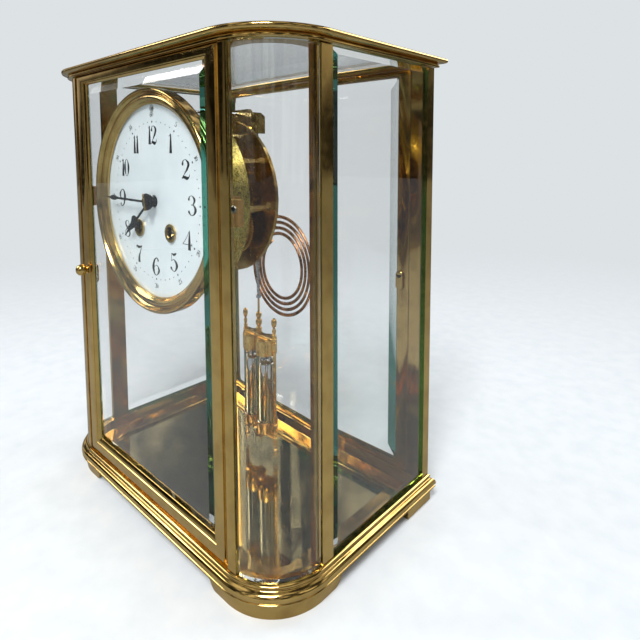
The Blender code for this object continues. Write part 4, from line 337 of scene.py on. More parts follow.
def clear_glass(name, tint, density, edge):
    """Glass that lets lamp light through, with a tint that deepens along the ray. Light caught in the sheet,
    bouncing from face to face until it is lost, leaves it with the colour of the sheet's edge."""
    made, tree, shader = new_material(name)
    shader.inputs["Base Color"].default_value = colour("#FFFFFF")
    shader.inputs["Roughness"].default_value = 0.0
    shader.inputs["IOR"].default_value = GLASS_IOR
    shader.inputs["Transmission Weight"].default_value = 1.0
    path = add(tree, "LightPath")
    inside = add(tree, "NewGeometry").outputs["Backfacing"]
    often = add(tree, "Math", {0: path.outputs["Glossy Depth"], 1: 1.5}, operation="GREATER_THAN")
    turned_back = add(tree, "Math", {0: inside, 1: path.outputs["Is Reflection Ray"]}, operation="MULTIPLY")
    caught = add(tree, "Math", {0: often.outputs[0], 1: turned_back.outputs[0]}, operation="MULTIPLY")
    shadow, diffuse = path.outputs["Is Shadow Ray"], path.outputs["Is Diffuse Ray"]
    lamp = add(tree, "Math", {0: shadow, 1: diffuse}, operation="MAXIMUM")
    through = add(tree, "Math", {0: lamp.outputs[0], 1: caught.outputs[0]}, operation="MAXIMUM")
    passed = blend_colours(tree, caught.outputs[0], colour(LAMP_THROUGH_GLASS), colour(edge))
    clear = add(tree, "BsdfTransparent", {"Color": passed})
    mixed = add(tree, "MixShader", {0: through.outputs[0], 1: shader.outputs[0], 2: clear.outputs[0]})
    tree.links.new(mixed.outputs[0], tree.nodes["Material Output"].inputs["Surface"])
    absorbed = add(tree, "VolumeAbsorption", {"Color": colour(tint), "Density": density})
    tree.links.new(absorbed.outputs[0], tree.nodes["Material Output"].inputs["Volume"])
    return made


def enamel():
    """Fired white enamel: a cool glossy white, a little uneven like orange peel."""
    made, tree, shader = new_material("fired_white_enamel")
    cloud = ramp(tree, noise(tree, ENAMEL_CLOUD, 4.0), *CLOUD_RANGE)
    white = blend_colours(tree, cloud, *map(colour, ENAMEL_TONES))
    tree.links.new(white, shader.inputs["Base Color"])
    shader.inputs["Roughness"].default_value = 0.16
    shader.inputs["Coat Weight"].default_value = 0.6
    shader.inputs["Coat Roughness"].default_value = 0.05
    peel = noise(tree, ENAMEL_PEEL, 1.0)
    bump = add(tree, "Bump", {"Height": peel, "Strength": 0.12, "Distance": ENAMEL_PEEL_DEPTH})
    tree.links.new(bump.outputs[0], shader.inputs["Normal"])
    return made


def black_finish(name, code, roughness, metallic):
    """Near black finish with a slightly uneven gloss."""
    made, tree, shader = new_material(name)
    cloud = ramp(tree, noise(tree, BLACK_CLOUD, 4.0), *CLOUD_RANGE)
    mottled = blend_colours(tree, cloud, colour(code), colour(BLACK_MOTTLE))
    tree.links.new(mottled, shader.inputs["Base Color"])
    smoother, rougher = (roughness * share for share in BLACK_GLOSS_SHARES)
    spread = ramp(tree, noise(tree, BLACK_GLOSS_CLOUD), *CLOUD_RANGE, smoother, rougher)
    tree.links.new(spread, shader.inputs["Roughness"])
    shader.inputs["Metallic"].default_value = metallic
    return made


# A metal lists its bright and dull colours, smoothest and roughest polish, sizes of blots and scratches and
# the scratches' depth.
# Polished and lacquered brass: deep gold, browner where the lacquer has gone, faint polishing marks
CASE_BRASS = metal("polished_lacquered_brass", "#D8B66E", "#B49254", 0.05, 0.16, 9 * MM, 0.8 * MM, 0.012 * MM)
# Fire-gilt bezel: brighter and smoother than the case
BEZEL_BRASS = metal("bright_gilt_brass", "#DDBB76", "#BB9858", 0.05, 0.15, 9 * MM, 0.9 * MM, 0.01 * MM)
# Machined movement brass: paler, satin, with turning marks
MOVEMENT_BRASS = metal("satin_movement_brass", "#CDB172", "#96804C", 0.14, 0.3, 6 * MM, 1.0 * MM, 0.008 * MM)
# Rough turned ring: olive brass, mottled and pitted
RING_BRASS = metal("mottled_cast_brass", "#BFAE60", "#4F4A20", 0.18, 0.42, 2.4 * MM, 1.3 * MM, 0.3 * MM)
# Barrels: warm turned brass with a soft sheen
BARREL_BRASS = metal("turned_barrel_brass", "#CBAA62", "#A08046", 0.34, 0.5, 4 * MM, 0.4 * MM, 0.03 * MM)
# Turned pendulum brass, brushed by the lathe: a lighter copy of the case brass, whose brighter colours are
# painted light standing in for light that catches the pendulum inside the case
LIT_PENDULUM_BRASS = metal("turned_pendulum_brass_painted_light", "#E3C078", "#BD9856", 0.14, 0.3, 6 * MM, 1.2 * MM, 0.008 * MM)
# Bracket: rosy where the casting was filed flat
BRACKET_BRASS = metal("filed_bracket_brass", "#CCA366", "#A5804B", 0.3, 0.48, 4 * MM, 0.4 * MM, 0.03 * MM)
# The floor plate is polished like a mirror
MIRROR_BRASS = metal("mirror_polished_brass", "#B3A67C", "#8F8560", 0.03, 0.1, 16 * MM, 2.0 * MM, 0.004 * MM)
# Polished steel: cool grey with fine marks
STEEL = metal("polished_steel", "#B9BCC0", "#85888D", 0.14, 0.34, 4 * MM, 0.4 * MM, 0.02 * MM)
# Copper plated gong wire: pinkish brown, dull in patches
GONG_COPPER = metal("coppered_gong_wire", "#A97E5C", "#74513A", 0.22, 0.42, 5 * MM, 0.4 * MM, 0.03 * MM)
# Mercury: a bright liquid mirror
MERCURY = metal("liquid_mercury", "#D9DBDE", "#C6C9CE", 0.02, 0.06, 10 * MM, 4 * MM, 0.01 * MM)
# Blued steel of the hands, so dark that it looks black
BLUED_STEEL = black_finish("black_blued_steel", "#1A1D26", 0.26, 0.7)
# Black enamel paint of the numerals
DIAL_PAINT = black_finish("black_dial_paint", "#14161B", 0.34, 0.0)
# Bevelled plate glass: clear across its thickness, green along its length
PLATE_GLASS = clear_glass("bevelled_plate_glass", "#A9E4D6", 5.0, "#62A897")
# Bent glass of the corners: thinner tint, with ground edges that look pale
BENT_GLASS = clear_glass("bent_corner_glass", "#D3EDE2", 5.0, "#B9BE9C")
# Thin drawn glass of the vials
VIAL_GLASS = clear_glass("drawn_vial_glass", "#D6F2E8", 12.0, "#A9CFC0")
ENAMEL = enamel()


def joined_mesh(name, grids, around, along, caps):
    """One mesh of many grids of points. Around joins each row's last point to its first, along joins the last
    row to the first, and caps closes both end rows with one face each."""
    points, faces, count = [], [], 0
    for grid in grids:
        rows, columns = grid.shape[:2]
        index = count + np.arange(rows * columns).reshape(rows, columns)
        if caps:
            faces += [index[0, ::-1].tolist(), index[-1].tolist()]
        if around:
            index = np.hstack([index, index[:, :1]])
        if along:
            index = np.vstack([index, index[:1]])
        quads = np.stack([index[:-1, :-1], index[:-1, 1:], index[1:, 1:], index[1:, :-1]], -1)
        faces += quads.reshape(-1, 4).tolist()
        points.append(grid.reshape(-1, 3))
        count += rows * columns
    mesh = bpy.data.meshes.new(name)
    mesh.from_pydata(np.vstack(points).tolist(), [], faces)
    return mesh


def piece(name, grids, paint, body, stands_for=(), around=True, along=False, caps=False, sharp=30):
    """Finished piece made from grids: poles are welded, faces turned out, and it rides on its body."""
    mesh = joined_mesh(name, grids, around, along, caps)
    shaped = bmesh.new()
    shaped.from_mesh(mesh)
    bmesh.ops.remove_doubles(shaped, verts=shaped.verts, dist=WELD)
    bmesh.ops.recalc_face_normals(shaped, faces=shaped.faces)
    shaped.to_mesh(mesh)
    shaped.free()
    mesh.shade_smooth()
    mesh.set_sharp_from_angle(angle=sharp * DEGREE)
    mesh.materials.append(paint)
    made = bpy.data.objects.new(name, mesh)
    bpy.context.scene.collection.objects.link(made)
    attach(made, body)
    if stands_for:
        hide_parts(*stands_for)
    return made


def rounded(profile, radius, steps=4, closed=False):
    """Profile with each corner eased by a short curve: a quadratic Bezier whose ends lie on the two sides,
    at the radius from the corner or at 0.45 of the shorter side."""
    corners = np.asarray(profile, float)
    before, after = np.roll(corners, 1, 0) - corners, np.roll(corners, -1, 0) - corners
    reach_before, reach_after = (np.linalg.norm(side, axis=1, keepdims=True) for side in (before, after))
    reach = np.minimum(radius, 0.45 * np.minimum(reach_before, reach_after))
    start = corners + before * reach / np.maximum(reach_before, 1e-12)
    end = corners + after * reach / np.maximum(reach_after, 1e-12)
    t = np.linspace(0, 1, steps)[None, :, None]
    curve = start[:, None] * (1 - t) ** 2 + corners[:, None] * 2 * t * (1 - t) + end[:, None] * t**2
    if closed:
        return curve.reshape(-1, 2)
    return np.vstack([corners[:1], curve[1:-1].reshape(-1, 2), corners[-1:]])


def lathe(profile, origin, direction, steps=48):
    """Surface of revolution. The point at (s, t) is the origin, plus the direction times distance(s), plus
    radius(s) times (across cos t + other sin t)."""
    profile = np.asarray(profile, float)
    along = np.array(direction, float)
    across = np.cross(along, (0.0, 0.0, 1.0)) if abs(along[2]) < 0.9 else np.array([1.0, 0.0, 0.0])
    other = np.cross(along, across)
    angle = TURN * np.arange(steps) / steps
    ring = across * np.cos(angle)[:, None] + other * np.sin(angle)[:, None]
    return np.array(origin) + profile[:, 1, None, None] * along + profile[:, 0, None, None] * ring


def lathe_back(profile, centre, steps=96):
    """Surface turned about a line from front to back: the profile lists (radius, depth)."""
    return lathe(profile, (centre[0], FRONT, centre[1]), (0, 1, 0), steps)


def lathe_up(profile, place, steps=48):
    """Surface turned about an upright line: the profile lists (radius, height)."""
    return lathe(profile, (place[0], place[1], 0), (0, 0, 1), steps)


def case_plan():
    """Points round the case's wall and the way that each moves outwards: the rear corners move diagonally."""
    angle = np.linspace(math.pi, 1.5 * math.pi, CORNER_STEPS + 1)
    left_way = np.stack([np.cos(angle), np.sin(angle)], -1)
    right_way = np.stack([np.cos(angle + math.pi / 2), np.sin(angle + math.pi / 2)], -1)
    middle = FRONT + CORNER_RADIUS
    left = left_way * CORNER_RADIUS + (-CENTRE_SIDE, middle)
    right = right_way * CORNER_RADIUS + (CENTRE_SIDE, middle)
    anchors = np.vstack([[(SIDE, -FRONT), (-SIDE, -FRONT)], left, right])
    ways = np.vstack([[(1, 1), (-1, 1)], left_way, right_way])
    return anchors, ways


def round_case(profile):
    """Grid of a profile of (offset from the wall, height) carried round the case."""
    anchors, ways = case_plan()
    profile = np.asarray(profile)
    plan = anchors + profile[:, 0, None, None] * ways
    height = np.broadcast_to(profile[:, 1, None, None], (*plan.shape[:2], 1))
    return np.concatenate([plan, height], -1)


def make_base_and_top():
    """Base and cornice, both profiles carried round the case's plan, and the bevelled pane on the cornice."""
    low, high = (corner[2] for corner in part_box("base_moulding"))
    outer = [(BASE_OVERHANG * out, low + (high - low) * up) for out, up in BASE_PROFILE]
    flange = low + BASE_FLANGE_THICKNESS
    inner = [(-BASE_WALL, high), (-BASE_WALL, flange), (-BASE_FLANGE, flange), (-BASE_FLANGE, low)]
    profile = rounded(outer + inner, BASE_EASE, closed=True)
    piece("base_casting", [round_case(profile)], CASE_BRASS, "case", ["base_moulding"], along=True)

    low, high = (corner[2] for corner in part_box("top_frame"))
    outer = [(TOP_OVERHANG * out, low + (high - low) * up) for out, up in TOP_PROFILE]
    seat = TOP_LEDGE_REACH - TOP_GLASS_SEAT
    ledge = low + TOP_LEDGE_THICKNESS
    inner = [(-seat, high), (-seat, ledge), (-TOP_LEDGE_REACH, ledge), (-TOP_LEDGE_REACH, low)]
    profile = rounded(outer + inner, TOP_EASE, closed=True)
    piece("top_cornice", [round_case(profile)], CASE_BRASS, "case", ["top_frame"], along=True)

    low, high = (corner[2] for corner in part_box("top_glass"))
    edge = -seat - GAP
    profile = ((edge, low), (edge, low + TOP_GLASS_EDGE), (edge - TOP_GLASS_BEVEL, high))
    piece("top_pane", [round_case(profile)], PLATE_GLASS, "case", ["top_glass"], caps=True, sharp=5)


def make_front_foot(side, name):
    """Foot that follows the round corner: a block section carried along the wall. Towards the ground it is
    shorter by the curve times one less the root of one less the square of the share still to climb."""
    low, high = (corner[2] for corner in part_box("foot_front_" + name))
    rise = np.linspace(0, 1, 9)
    profile = [(FOOT_OVERHANG - FOOT_CHAMFER * (1 - r) ** 2, low + (high - low) * r) for r in rise]
    profile += [(-FOOT_BAND, high), (-FOOT_BAND, low)]
    profile = np.array(profile)
    angle = np.linspace(1.5 * math.pi, TURN, CORNER_STEPS + 1)
    way = np.stack([np.cos(angle), np.sin(angle)], -1)
    anchor = way * CORNER_RADIUS + (CENTRE_SIDE, FRONT + CORNER_RADIUS)
    way = np.vstack([[(0, -1)], way, [(1, 0)]])
    share = (profile[:, 1] - low) / (high - low)
    shorter = FOOT_CURVE * (1 - np.sqrt(1 - (1 - share) ** 2 * FOOT_CURVE_SHARE))
    grid = np.empty((len(profile), len(way), 3))
    grid[:, 1:-1, :2] = anchor
    grid[:, 0, 0] = CENTRE_SIDE - FRONT_FOOT_REACH + shorter
    grid[:, 0, 1] = FRONT
    grid[:, -1, 0] = SIDE
    grid[:, -1, 1] = FRONT + CORNER_RADIUS + SIDE_FOOT_REACH - shorter
    grid[:, :, :2] += profile[:, 0, None, None] * way
    grid[:, :, 2] = profile[:, 1, None]
    grid[:, :, 0] *= side
    grid = grid.transpose(1, 0, 2)
    piece("corner_foot_" + name, [grid], CASE_BRASS, "case", ["foot_front_" + name], caps=True)


def make_corner_pane(side, name):
    """Curved pane, thinner at its ends, between two arcs (radius cos t, radius sin t) about the corner."""
    low, high = (corner[2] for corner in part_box("corner_glass_" + name))
    outer = CORNER_RADIUS - GLASS_INSET
    inner = outer - GLASS_THICKNESS
    start, end = math.asin(GAP / inner), math.acos((FRONT_POST_WIDTH + GAP) / outer)
    bevel = GLASS_BEVEL / outer
    angle = -np.concatenate([[start], np.linspace(start + bevel, end - bevel, CORNER_STEPS * 2), [end]])
    rim = np.full(len(angle), outer)
    rim[[0, -1]] = inner + GLASS_EDGE
    radius = np.stack([np.full(len(angle), inner), rim, rim, np.full(len(angle), inner)], 1)
    grid = np.empty((len(angle), 4, 3))
    grid[:, :, 0] = side * (CENTRE_SIDE + radius * np.cos(angle)[:, None])
    grid[:, :, 1] = FRONT + CORNER_RADIUS + radius * np.sin(angle)[:, None]
    grid[:, :, 2] = (low, low, high, high)
    stands_for = ["corner_glass_" + name]
    piece("corner_pane_" + name, [grid], BENT_GLASS, "case", stands_for, caps=True, sharp=4)


def upright_bar(outline, side, low, high, ease):
    """Bar of a section (across, depth) carried straight up, mirrored to its side, with eased corners."""
    section = rounded(outline, ease, closed=True)
    place = np.column_stack([side * section[:, 0], at_depth(section[:, 1])])
    return np.stack([np.column_stack([place, np.full(len(place), height)]) for height in (low, high)])


def make_post_and_bracket(side, name):
    """Front post, whose side leans with the glass's end, and the cranked bracket screwed behind it. The
    shoulder lies on the corner's arc: radius less the root of radius squared less width squared."""
    low, high = (corner[2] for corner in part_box("front_post_" + name))
    outer = CENTRE_SIDE + FRONT_POST_WIDTH
    shoulder = CORNER_RADIUS - math.sqrt(CORNER_RADIUS**2 - FRONT_POST_WIDTH**2)
    lean = FRONT_POST_WIDTH / CORNER_RADIUS * (FRONT_POST_DEPTH - shoulder)
    section = [
        (CENTRE_SIDE + GAP, 0.0), (outer, shoulder), (outer - lean, FRONT_POST_DEPTH),
        (CENTRE_SIDE + GAP, FRONT_POST_DEPTH),
    ]
    post = upright_bar(section, side, low, high, POST_EASE)
    piece("post_bar_" + name, [post], CASE_BRASS, "case", ["front_post_" + name], caps=True)
    foot_front = FRONT_POST_DEPTH + GAP
    foot_back = foot_front + BRACKET_FOOT
    section = [
        (BRACKET_OUTER, foot_front), (BRACKET_OUTER, foot_back), (BRACKET_WEB[1], foot_back),
        (BRACKET_WEB[1], BRACKET_ARM[1]), (RING_RADIUS, BRACKET_ARM[1]), (RING_RADIUS, BRACKET_ARM[0]),
        (BRACKET_WEB[0], BRACKET_ARM[0]), (BRACKET_WEB[0], foot_front),
    ]
    low, high = DIAL_HEIGHT - BRACKET_HALF_HEIGHT, DIAL_HEIGHT + BRACKET_HALF_HEIGHT
    bracket = upright_bar(section, side, low, high, BRACKET_EASE)
    stands_for = ["movement_bracket_" + name]
    piece("cranked_bracket_" + name, [bracket], BRACKET_BRASS, "case", stands_for, caps=True)
    place = (side * SCREW_PLACE[0], SCREW_PLACE[1])
    head = [(radius * MM, foot_front + out * MM) for radius, out in SCREW_PROFILE]
    screw = lathe_back(rounded(head, SCREW_EASE, steps=3), place, steps=32)
    piece("bracket_screw_" + name, [screw], STEEL, "case")
    # A near black disc of blued steel fills the bottom of the screw head's hollow: painted shade in the
    # recess.
    shade_disc = [(radius * MM, foot_front + out * MM) for radius, out in SHADE_DISC_PROFILE]
    piece("screw_recess_painted_shade_" + name, [lathe_back(shade_disc, place, steps=24)], BLUED_STEEL, "case")


def make_door_frame(name, body, outward):
    """Mitred frame: the profile carried round the door's rectangle, at inset times the width of each stile or
    rail. The door's box is higher than the frame by a hinge pin at both ends."""
    (left, near, bottom), (right, far, top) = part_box(name + "_frame")
    bottom, top = bottom + DOOR_PIN, top - DOOR_PIN
    depth = far - near
    outer_face, widths = (near, FRONT_DOOR_WIDTHS) if outward < 0 else (far, REAR_DOOR_WIDTHS)
    profile = rounded(DOOR_PROFILE, DOOR_EASE_SHARE, closed=True)
    inset, back = profile[:, :1], profile[:, 1:]
    across = np.hstack([left + inset * widths["stile"], right - inset * widths["stile"]] * 2)[:, [0, 1, 3, 2]]
    height = np.hstack([bottom + inset * widths["bottom"]] * 2 + [top - inset * widths["top"]] * 2)
    place = np.broadcast_to(outer_face - outward * depth * back, across.shape)
    grid = np.stack([across, place, height], -1)
    piece(name + "_rails", [grid], CASE_BRASS, body, [name + "_frame"], along=True)


def make_knob(name, outward):
    """Ball knob and the latch tongue behind the door."""
    low, high = (np.array(corner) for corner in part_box(name))
    x, z = (low[0] + high[0]) / 2, high[2] - KNOB_RADIUS
    face = FRONT if outward < 0 else -FRONT
    behind = high[1] - FRONT if outward < 0 else -FRONT - low[1]
    nearer = behind - TONGUE_THICKNESS
    profile = [(KNOB_RADIUS * r, -KNOB_PROJECTION * share) for r, share in KNOB_PROFILE]
    profile += [(KNOB_COLLAR_RADIUS, -GAP), (KNOB_STEM_RADIUS, -GAP), (KNOB_STEM_RADIUS, nearer)]
    profile += [(KNOB_RIVET_RADIUS, nearer), (KNOB_RIVET_RADIUS, behind), (0.0, behind)]
    turned = lathe(rounded(profile, KNOB_EASE), (x, face, z), (0, -outward, 0), steps=40)
    tip = z - TONGUE_REACH
    half = TONGUE_HALF_WIDTH
    outline = [(x - half, z), (x - half, tip + half), (x, tip), (x + half, tip + half), (x + half, z)]
    blade = np.array([
        [(across, face - outward * depth, up) for across, up in outline] for depth in (nearer, behind)
    ])
    piece(name + "_turning", [turned], CASE_BRASS, name, [name])
    piece(name + "_tongue", [blade], CASE_BRASS, name, caps=True)


def make_bezel_and_ring():
    """Stepped bezel turned about the dial's centre, and the sleeve of the ring behind it, a skin wider than
    the ring's solid."""
    centre = (0.0, DIAL_HEIGHT)
    width = BEZEL_RADIUS - DIAL_OPENING_RADIUS
    lip_back = DIAL_DEPTH - GAP
    front = [(DIAL_OPENING_RADIUS + width * out, lip_back - BEZEL_FRONT * up) for out, up in BEZEL_PROFILE]
    back = [
        (DIAL_OPENING_RADIUS, lip_back), (DIAL_RADIUS + GAP, lip_back), (DIAL_RADIUS + GAP, DIAL_BACK),
        (BEZEL_RADIUS, DIAL_BACK),
    ]
    profile = rounded(front + back, BEZEL_EASE, closed=True)
    stepped = lathe_back(profile, centre, steps=128)
    piece("dial_bezel", [stepped], BEZEL_BRASS, "case", ["bezel"], along=True)
    outer = RING_RADIUS + RING_SKIN
    sleeve = [
        (RING_BORE, RING_FLANGE_BACK), (outer, RING_FLANGE_BACK), (outer, RING_BACK), (RING_BORE, RING_BACK),
    ]
    sleeve = rounded(sleeve, RING_EASE, closed=True)
    grid = lathe_back(sleeve, centre, steps=128)
    piece("ring_sleeve", [grid], RING_BRASS, "case", along=True)


def smooth_path(controls, steps):
    """Catmull-Rom curve: between b and c of four control points a, b, c, d it is b plus half of t (c - a) +
    t squared (2a - 5b + 4c - d) + t cubed (3b - 3c + d - a). A point may have any number of values."""
    controls = np.asarray(controls, float)
    padded = np.vstack([2 * controls[0] - controls[1], controls, 2 * controls[-1] - controls[-2]])
    t = np.linspace(0, 1, steps, endpoint=False)[None, :, None]
    a, b, c, d = (padded[i:len(padded) - 3 + i, None] for i in range(4))
    curve = b + 0.5 * t * (c - a + t * (2 * a - 5 * b + 4 * c - d + t * (3 * (b - c) + d - a)))
    return np.vstack([curve.reshape(-1, controls.shape[1]), controls[-1:]])


# Numerals in mm from each one's middle: every row of a stroke is (x, height, half the stroke's width)
STEMS = {
    "1": [[(0.35, 4.4, 0.3), (0.15, 0.0, 0.75), (0.0, -4.4, 1.05)]],
    "4": [[(1.9, 4.4, 0.2), (1.7, 0.0, 0.8), (1.6, -4.4, 1.05)]],
    "7": [[(2.6, 4.3, 0.12), (0.9, 1.0, 0.3), (-0.3, -1.8, 0.8), (-0.4, -4.4, 1.05)]],
}
STROKES = {
    "1": [[(-1.2, 3.2, 0.1), (-0.4, 3.8, 0.18), (0.3, 4.25, 0.18)]],
    "2": [
        [
            (-2.2, 2.4, 0.7), (-1.7, 3.8, 0.22), (0.2, 4.25, 0.18), (2.4, 2.6, 0.75), (1.5, 0.5, 0.65),
            (-0.7, -1.8, 0.25), (-2.9, -4.0, 0.15),
        ],
        [(-2.9, -4.0, 0.15), (-1.3, -3.4, 0.6), (1.0, -3.9, 0.75), (2.6, -3.3, 0.3), (3.2, -2.2, 0.12)],
    ],
    "3": [
        [
            (-2.2, 2.7, 0.65), (-1.4, 4.0, 0.2), (0.4, 4.25, 0.2), (2.1, 2.6, 0.75), (1.0, 0.6, 0.25),
            (-0.4, 0.35, 0.12),
        ],
        [
            (-0.4, 0.35, 0.12), (1.4, 0.1, 0.3), (2.8, -1.9, 0.85), (1.2, -4.0, 0.3), (-0.9, -4.2, 0.18),
            (-2.3, -2.9, 0.7),
        ],
    ],
    "4": [
        [(1.8, 4.35, 0.14), (-0.8, 0.9, 0.14), (-3.6, -1.9, 0.14)],
        [(-3.6, -1.9, 0.15), (0.0, -1.9, 0.15), (3.5, -1.9, 0.15)],
        [(3.5, -2.6, 0.12), (3.45, -1.9, 0.28), (3.5, -1.2, 0.12)],
    ],
    "5": [
        [(-1.6, 4.0, 0.15), (0.0, 3.5, 0.55), (1.6, 4.0, 0.5), (2.3, 4.5, 0.1)],
        [(-1.6, 4.0, 0.14), (-1.8, 2.2, 0.14), (-2.0, 0.4, 0.14)],
        [
            (-2.0, 0.4, 0.14), (0.2, 1.2, 0.22), (2.5, -1.2, 0.95), (1.0, -4.0, 0.3), (-0.9, -4.15, 0.18),
            (-2.3, -3.0, 0.7),
        ],
    ],
    "6": [
        [
            (1.9, 3.1, 0.6), (0.8, 4.2, 0.2), (-1.4, 2.8, 0.5), (-2.6, -0.8, 1.0), (-1.6, -3.8, 0.45),
            (0.4, -4.3, 0.18), (2.5, -2.0, 0.75), (1.5, 0.1, 0.28), (-0.1, 0.5, 0.13), (-1.9, -0.7, 0.13),
        ],
    ],
    "7": [[(-2.6, 2.6, 0.12), (-2.3, 3.9, 0.35), (-0.9, 3.3, 0.65), (1.2, 3.6, 0.5), (2.6, 4.3, 0.12)]],
    "8": [
        [
            (0.0, 0.3, 0.55), (1.9, -1.2, 0.75), (2.0, -3.0, 0.6), (0.0, -4.3, 0.16), (-2.2, -2.9, 0.3),
            (-1.9, -1.0, 0.2), (0.0, 0.5, 0.35), (1.6, 2.0, 0.25), (1.4, 3.6, 0.2), (0.0, 4.3, 0.14),
            (-1.6, 3.4, 0.45), (-1.6, 1.9, 0.65), (0.0, 0.3, 0.55),
        ],
    ],
}
STROKES["9"] = [[(-x, -z, half) for x, z, half in stroke] for stroke in STROKES["6"]]
STROKES["0"] = [
    [(2.3 * math.cos(a), 4.2 * math.sin(a), 0.14 + 0.8 * math.cos(a) ** 4) for a in np.linspace(0, TURN, 13)],
]
DIGIT_WIDTHS = {"1": 2.6, "4": 7.4}
OTHER_DIGIT_WIDTH = 5.6


def stroke_grid(controls, flat_ends, squeeze):
    """Painted ribbon along a smooth path, which carries its half width. Ends that aren't flat close in a half
    circle (sin t, cos t)."""
    path = smooth_path(controls, steps=8) * MM
    path[:, 0] *= squeeze
    way = np.gradient(path[:, :2], axis=0)
    way /= np.maximum(np.linalg.norm(way, axis=1, keepdims=True), 1e-12)
    if not flat_ends:
        bend = np.linspace(0, math.pi / 2, 6)[1:, None]
        tail = np.hstack([path[-1, :2] + way[-1] * path[-1, 2] * np.sin(bend), path[-1, 2] * np.cos(bend)])
        nose = np.hstack([path[0, :2] - way[0] * path[0, 2] * np.sin(bend), path[0, 2] * np.cos(bend)])[::-1]
        path = np.vstack([nose, path, tail])
        way = np.vstack([np.repeat(way[:1], len(bend), 0), way, np.repeat(way[-1:], len(bend), 0)])
    normal = np.stack([-way[:, 1], way[:, 0]], -1) * np.maximum(path[:, 2:], LEAST_STROKE)
    left, right = path[:, :2] + normal, path[:, :2] - normal
    return np.stack([left, left, right, right], 1)


def word_grids(word, centre, turn, scale, squeeze=1.0):
    """Grids of a number's strokes on the dial, turned clockwise about its own middle."""
    widths = [DIGIT_WIDTHS.get(digit, OTHER_DIGIT_WIDTH) * MM * squeeze for digit in word]
    start = -(sum(widths) + DIGIT_SPACING * (len(word) - 1)) / 2
    depth = DIAL_DEPTH - np.array([0.0, PAINT_THICKNESS, PAINT_THICKNESS, 0.0])
    grids = []
    for digit, width in zip(word, widths):
        strokes = [(s, True) for s in STEMS.get(digit, [])] + [(s, False) for s in STROKES[digit]]
        for controls, flat_ends in strokes:
            flat = stroke_grid(controls, flat_ends, squeeze)
            x = (flat[:, :, 0] + start + width / 2) * scale
            z = flat[:, :, 1] * scale
            across = centre[0] + x * math.cos(turn) + z * math.sin(turn)
            height = centre[1] + z * math.cos(turn) - x * math.sin(turn)
            grids.append(np.stack([across, np.broadcast_to(at_depth(depth), across.shape), height], -1))
        start += width + DIGIT_SPACING
    return grids


def on_dial(radius, turn):
    """Place on the dial at a radius and an angle clockwise from twelve."""
    return (radius * math.sin(turn), DIAL_HEIGHT + radius * math.cos(turn))


def make_dial_markings():
    """Painted hour numerals, which stand upright, minute dots, and small numerals at every fifth minute."""
    grids = []
    for hour in range(1, 13):
        turn = TURN * hour / 12
        squeeze = TWO_DIGIT_SQUEEZE if hour > 9 else 1.0
        grids += word_grids(str(hour), on_dial(NUMERAL_CIRCLE, turn), 0.0, 1.0, squeeze)
    piece("hour_numerals", grids, DIAL_PAINT, "case", caps=True)
    grids = []
    for five in range(1, 13):
        turn = TURN * five / 12
        flipped = UPSIDE_DOWN[0] < turn < UPSIDE_DOWN[1]
        word_turn = turn + math.pi if flipped else turn
        place = on_dial(SMALL_NUMERAL_CIRCLE, turn)
        grids += word_grids(str(5 * five), place, word_turn, SMALL_NUMERAL_SCALE, SMALL_NUMERAL_SQUEEZE)
    piece("five_minute_numerals", grids, DIAL_PAINT, "case", caps=True)
    dots = []
    for minute in range(60):
        place = on_dial(MINUTE_CIRCLE, TURN * minute / 60)
        radius = MINUTE_DOT if minute % 5 else FIVE_MINUTE_DOT
        top = DIAL_DEPTH - PAINT_THICKNESS
        dots.append(lathe_back([(radius, DIAL_DEPTH), (radius, top)], place, steps=12))
    piece("minute_dots", dots, DIAL_PAINT, "case", caps=True)


def make_hub():
    """Black dome in front of the hands, a quarter ellipse (sin t, cos t) on a washer, and the brass taper pin
    that holds them."""
    low, high = (np.array(corner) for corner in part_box("hand_nut"))
    front, back = low[1] - FRONT, high[1] - FRONT
    radius, thick = (high[0] - low[0]) / 2, back - front
    washer, edge = DOME_SHARES["washer"], DOME_SHARES["edge"]
    bend = np.linspace(0, math.pi / 2, 10)
    widest = DOME_SHARES["radius"] * radius
    profile = [(widest * math.sin(a), back - thick * (washer + (1 - washer) * math.cos(a))) for a in bend]
    profile += [
        (radius * DOME_SHARES["shoulder"], back - thick * washer), (radius, back - thick * edge),
        (radius, back), (0.0, back),
    ]
    dome = lathe_back(rounded(profile, DOME_EASE, steps=3), (0.0, DIAL_HEIGHT), steps=40)
    piece("hand_dome", [dome], BLUED_STEEL, "minute_hand", ["hand_nut"])
    (lower, upper), (end, near_end) = PIN_RADII, PIN_END_SHARES
    half = PIN_LENGTH / 2
    way = (math.sin(PIN_TILT), 0.0, math.cos(PIN_TILT))
    taper = [
        (0.0, -half), (lower * end, -half), (lower, -half * near_end), (upper, half * near_end),
        (upper * end, half), (0.0, half),
    ]
    pin = lathe(taper, (0.0, at_depth(front), DIAL_HEIGHT), way, steps=24)
    piece("taper_pin", [pin], CASE_BRASS, "minute_hand")


def pendulum_bar(low):
    """Level bar of an eased rectangular section that runs from column to column, upwards from a height."""
    top = low + BAR_THICKNESS
    ring = [(-BAR_HALF_WIDTH, low), (BAR_HALF_WIDTH, low), (BAR_HALF_WIDTH, top), (-BAR_HALF_WIDTH, top)]
    ring = rounded(ring, BAR_EASE, closed=True)
    return np.array([[(x, PENDULUM_Y + depth, z) for depth, z in ring] for x in (-COLUMN_SIDE, COLUMN_SIDE)])


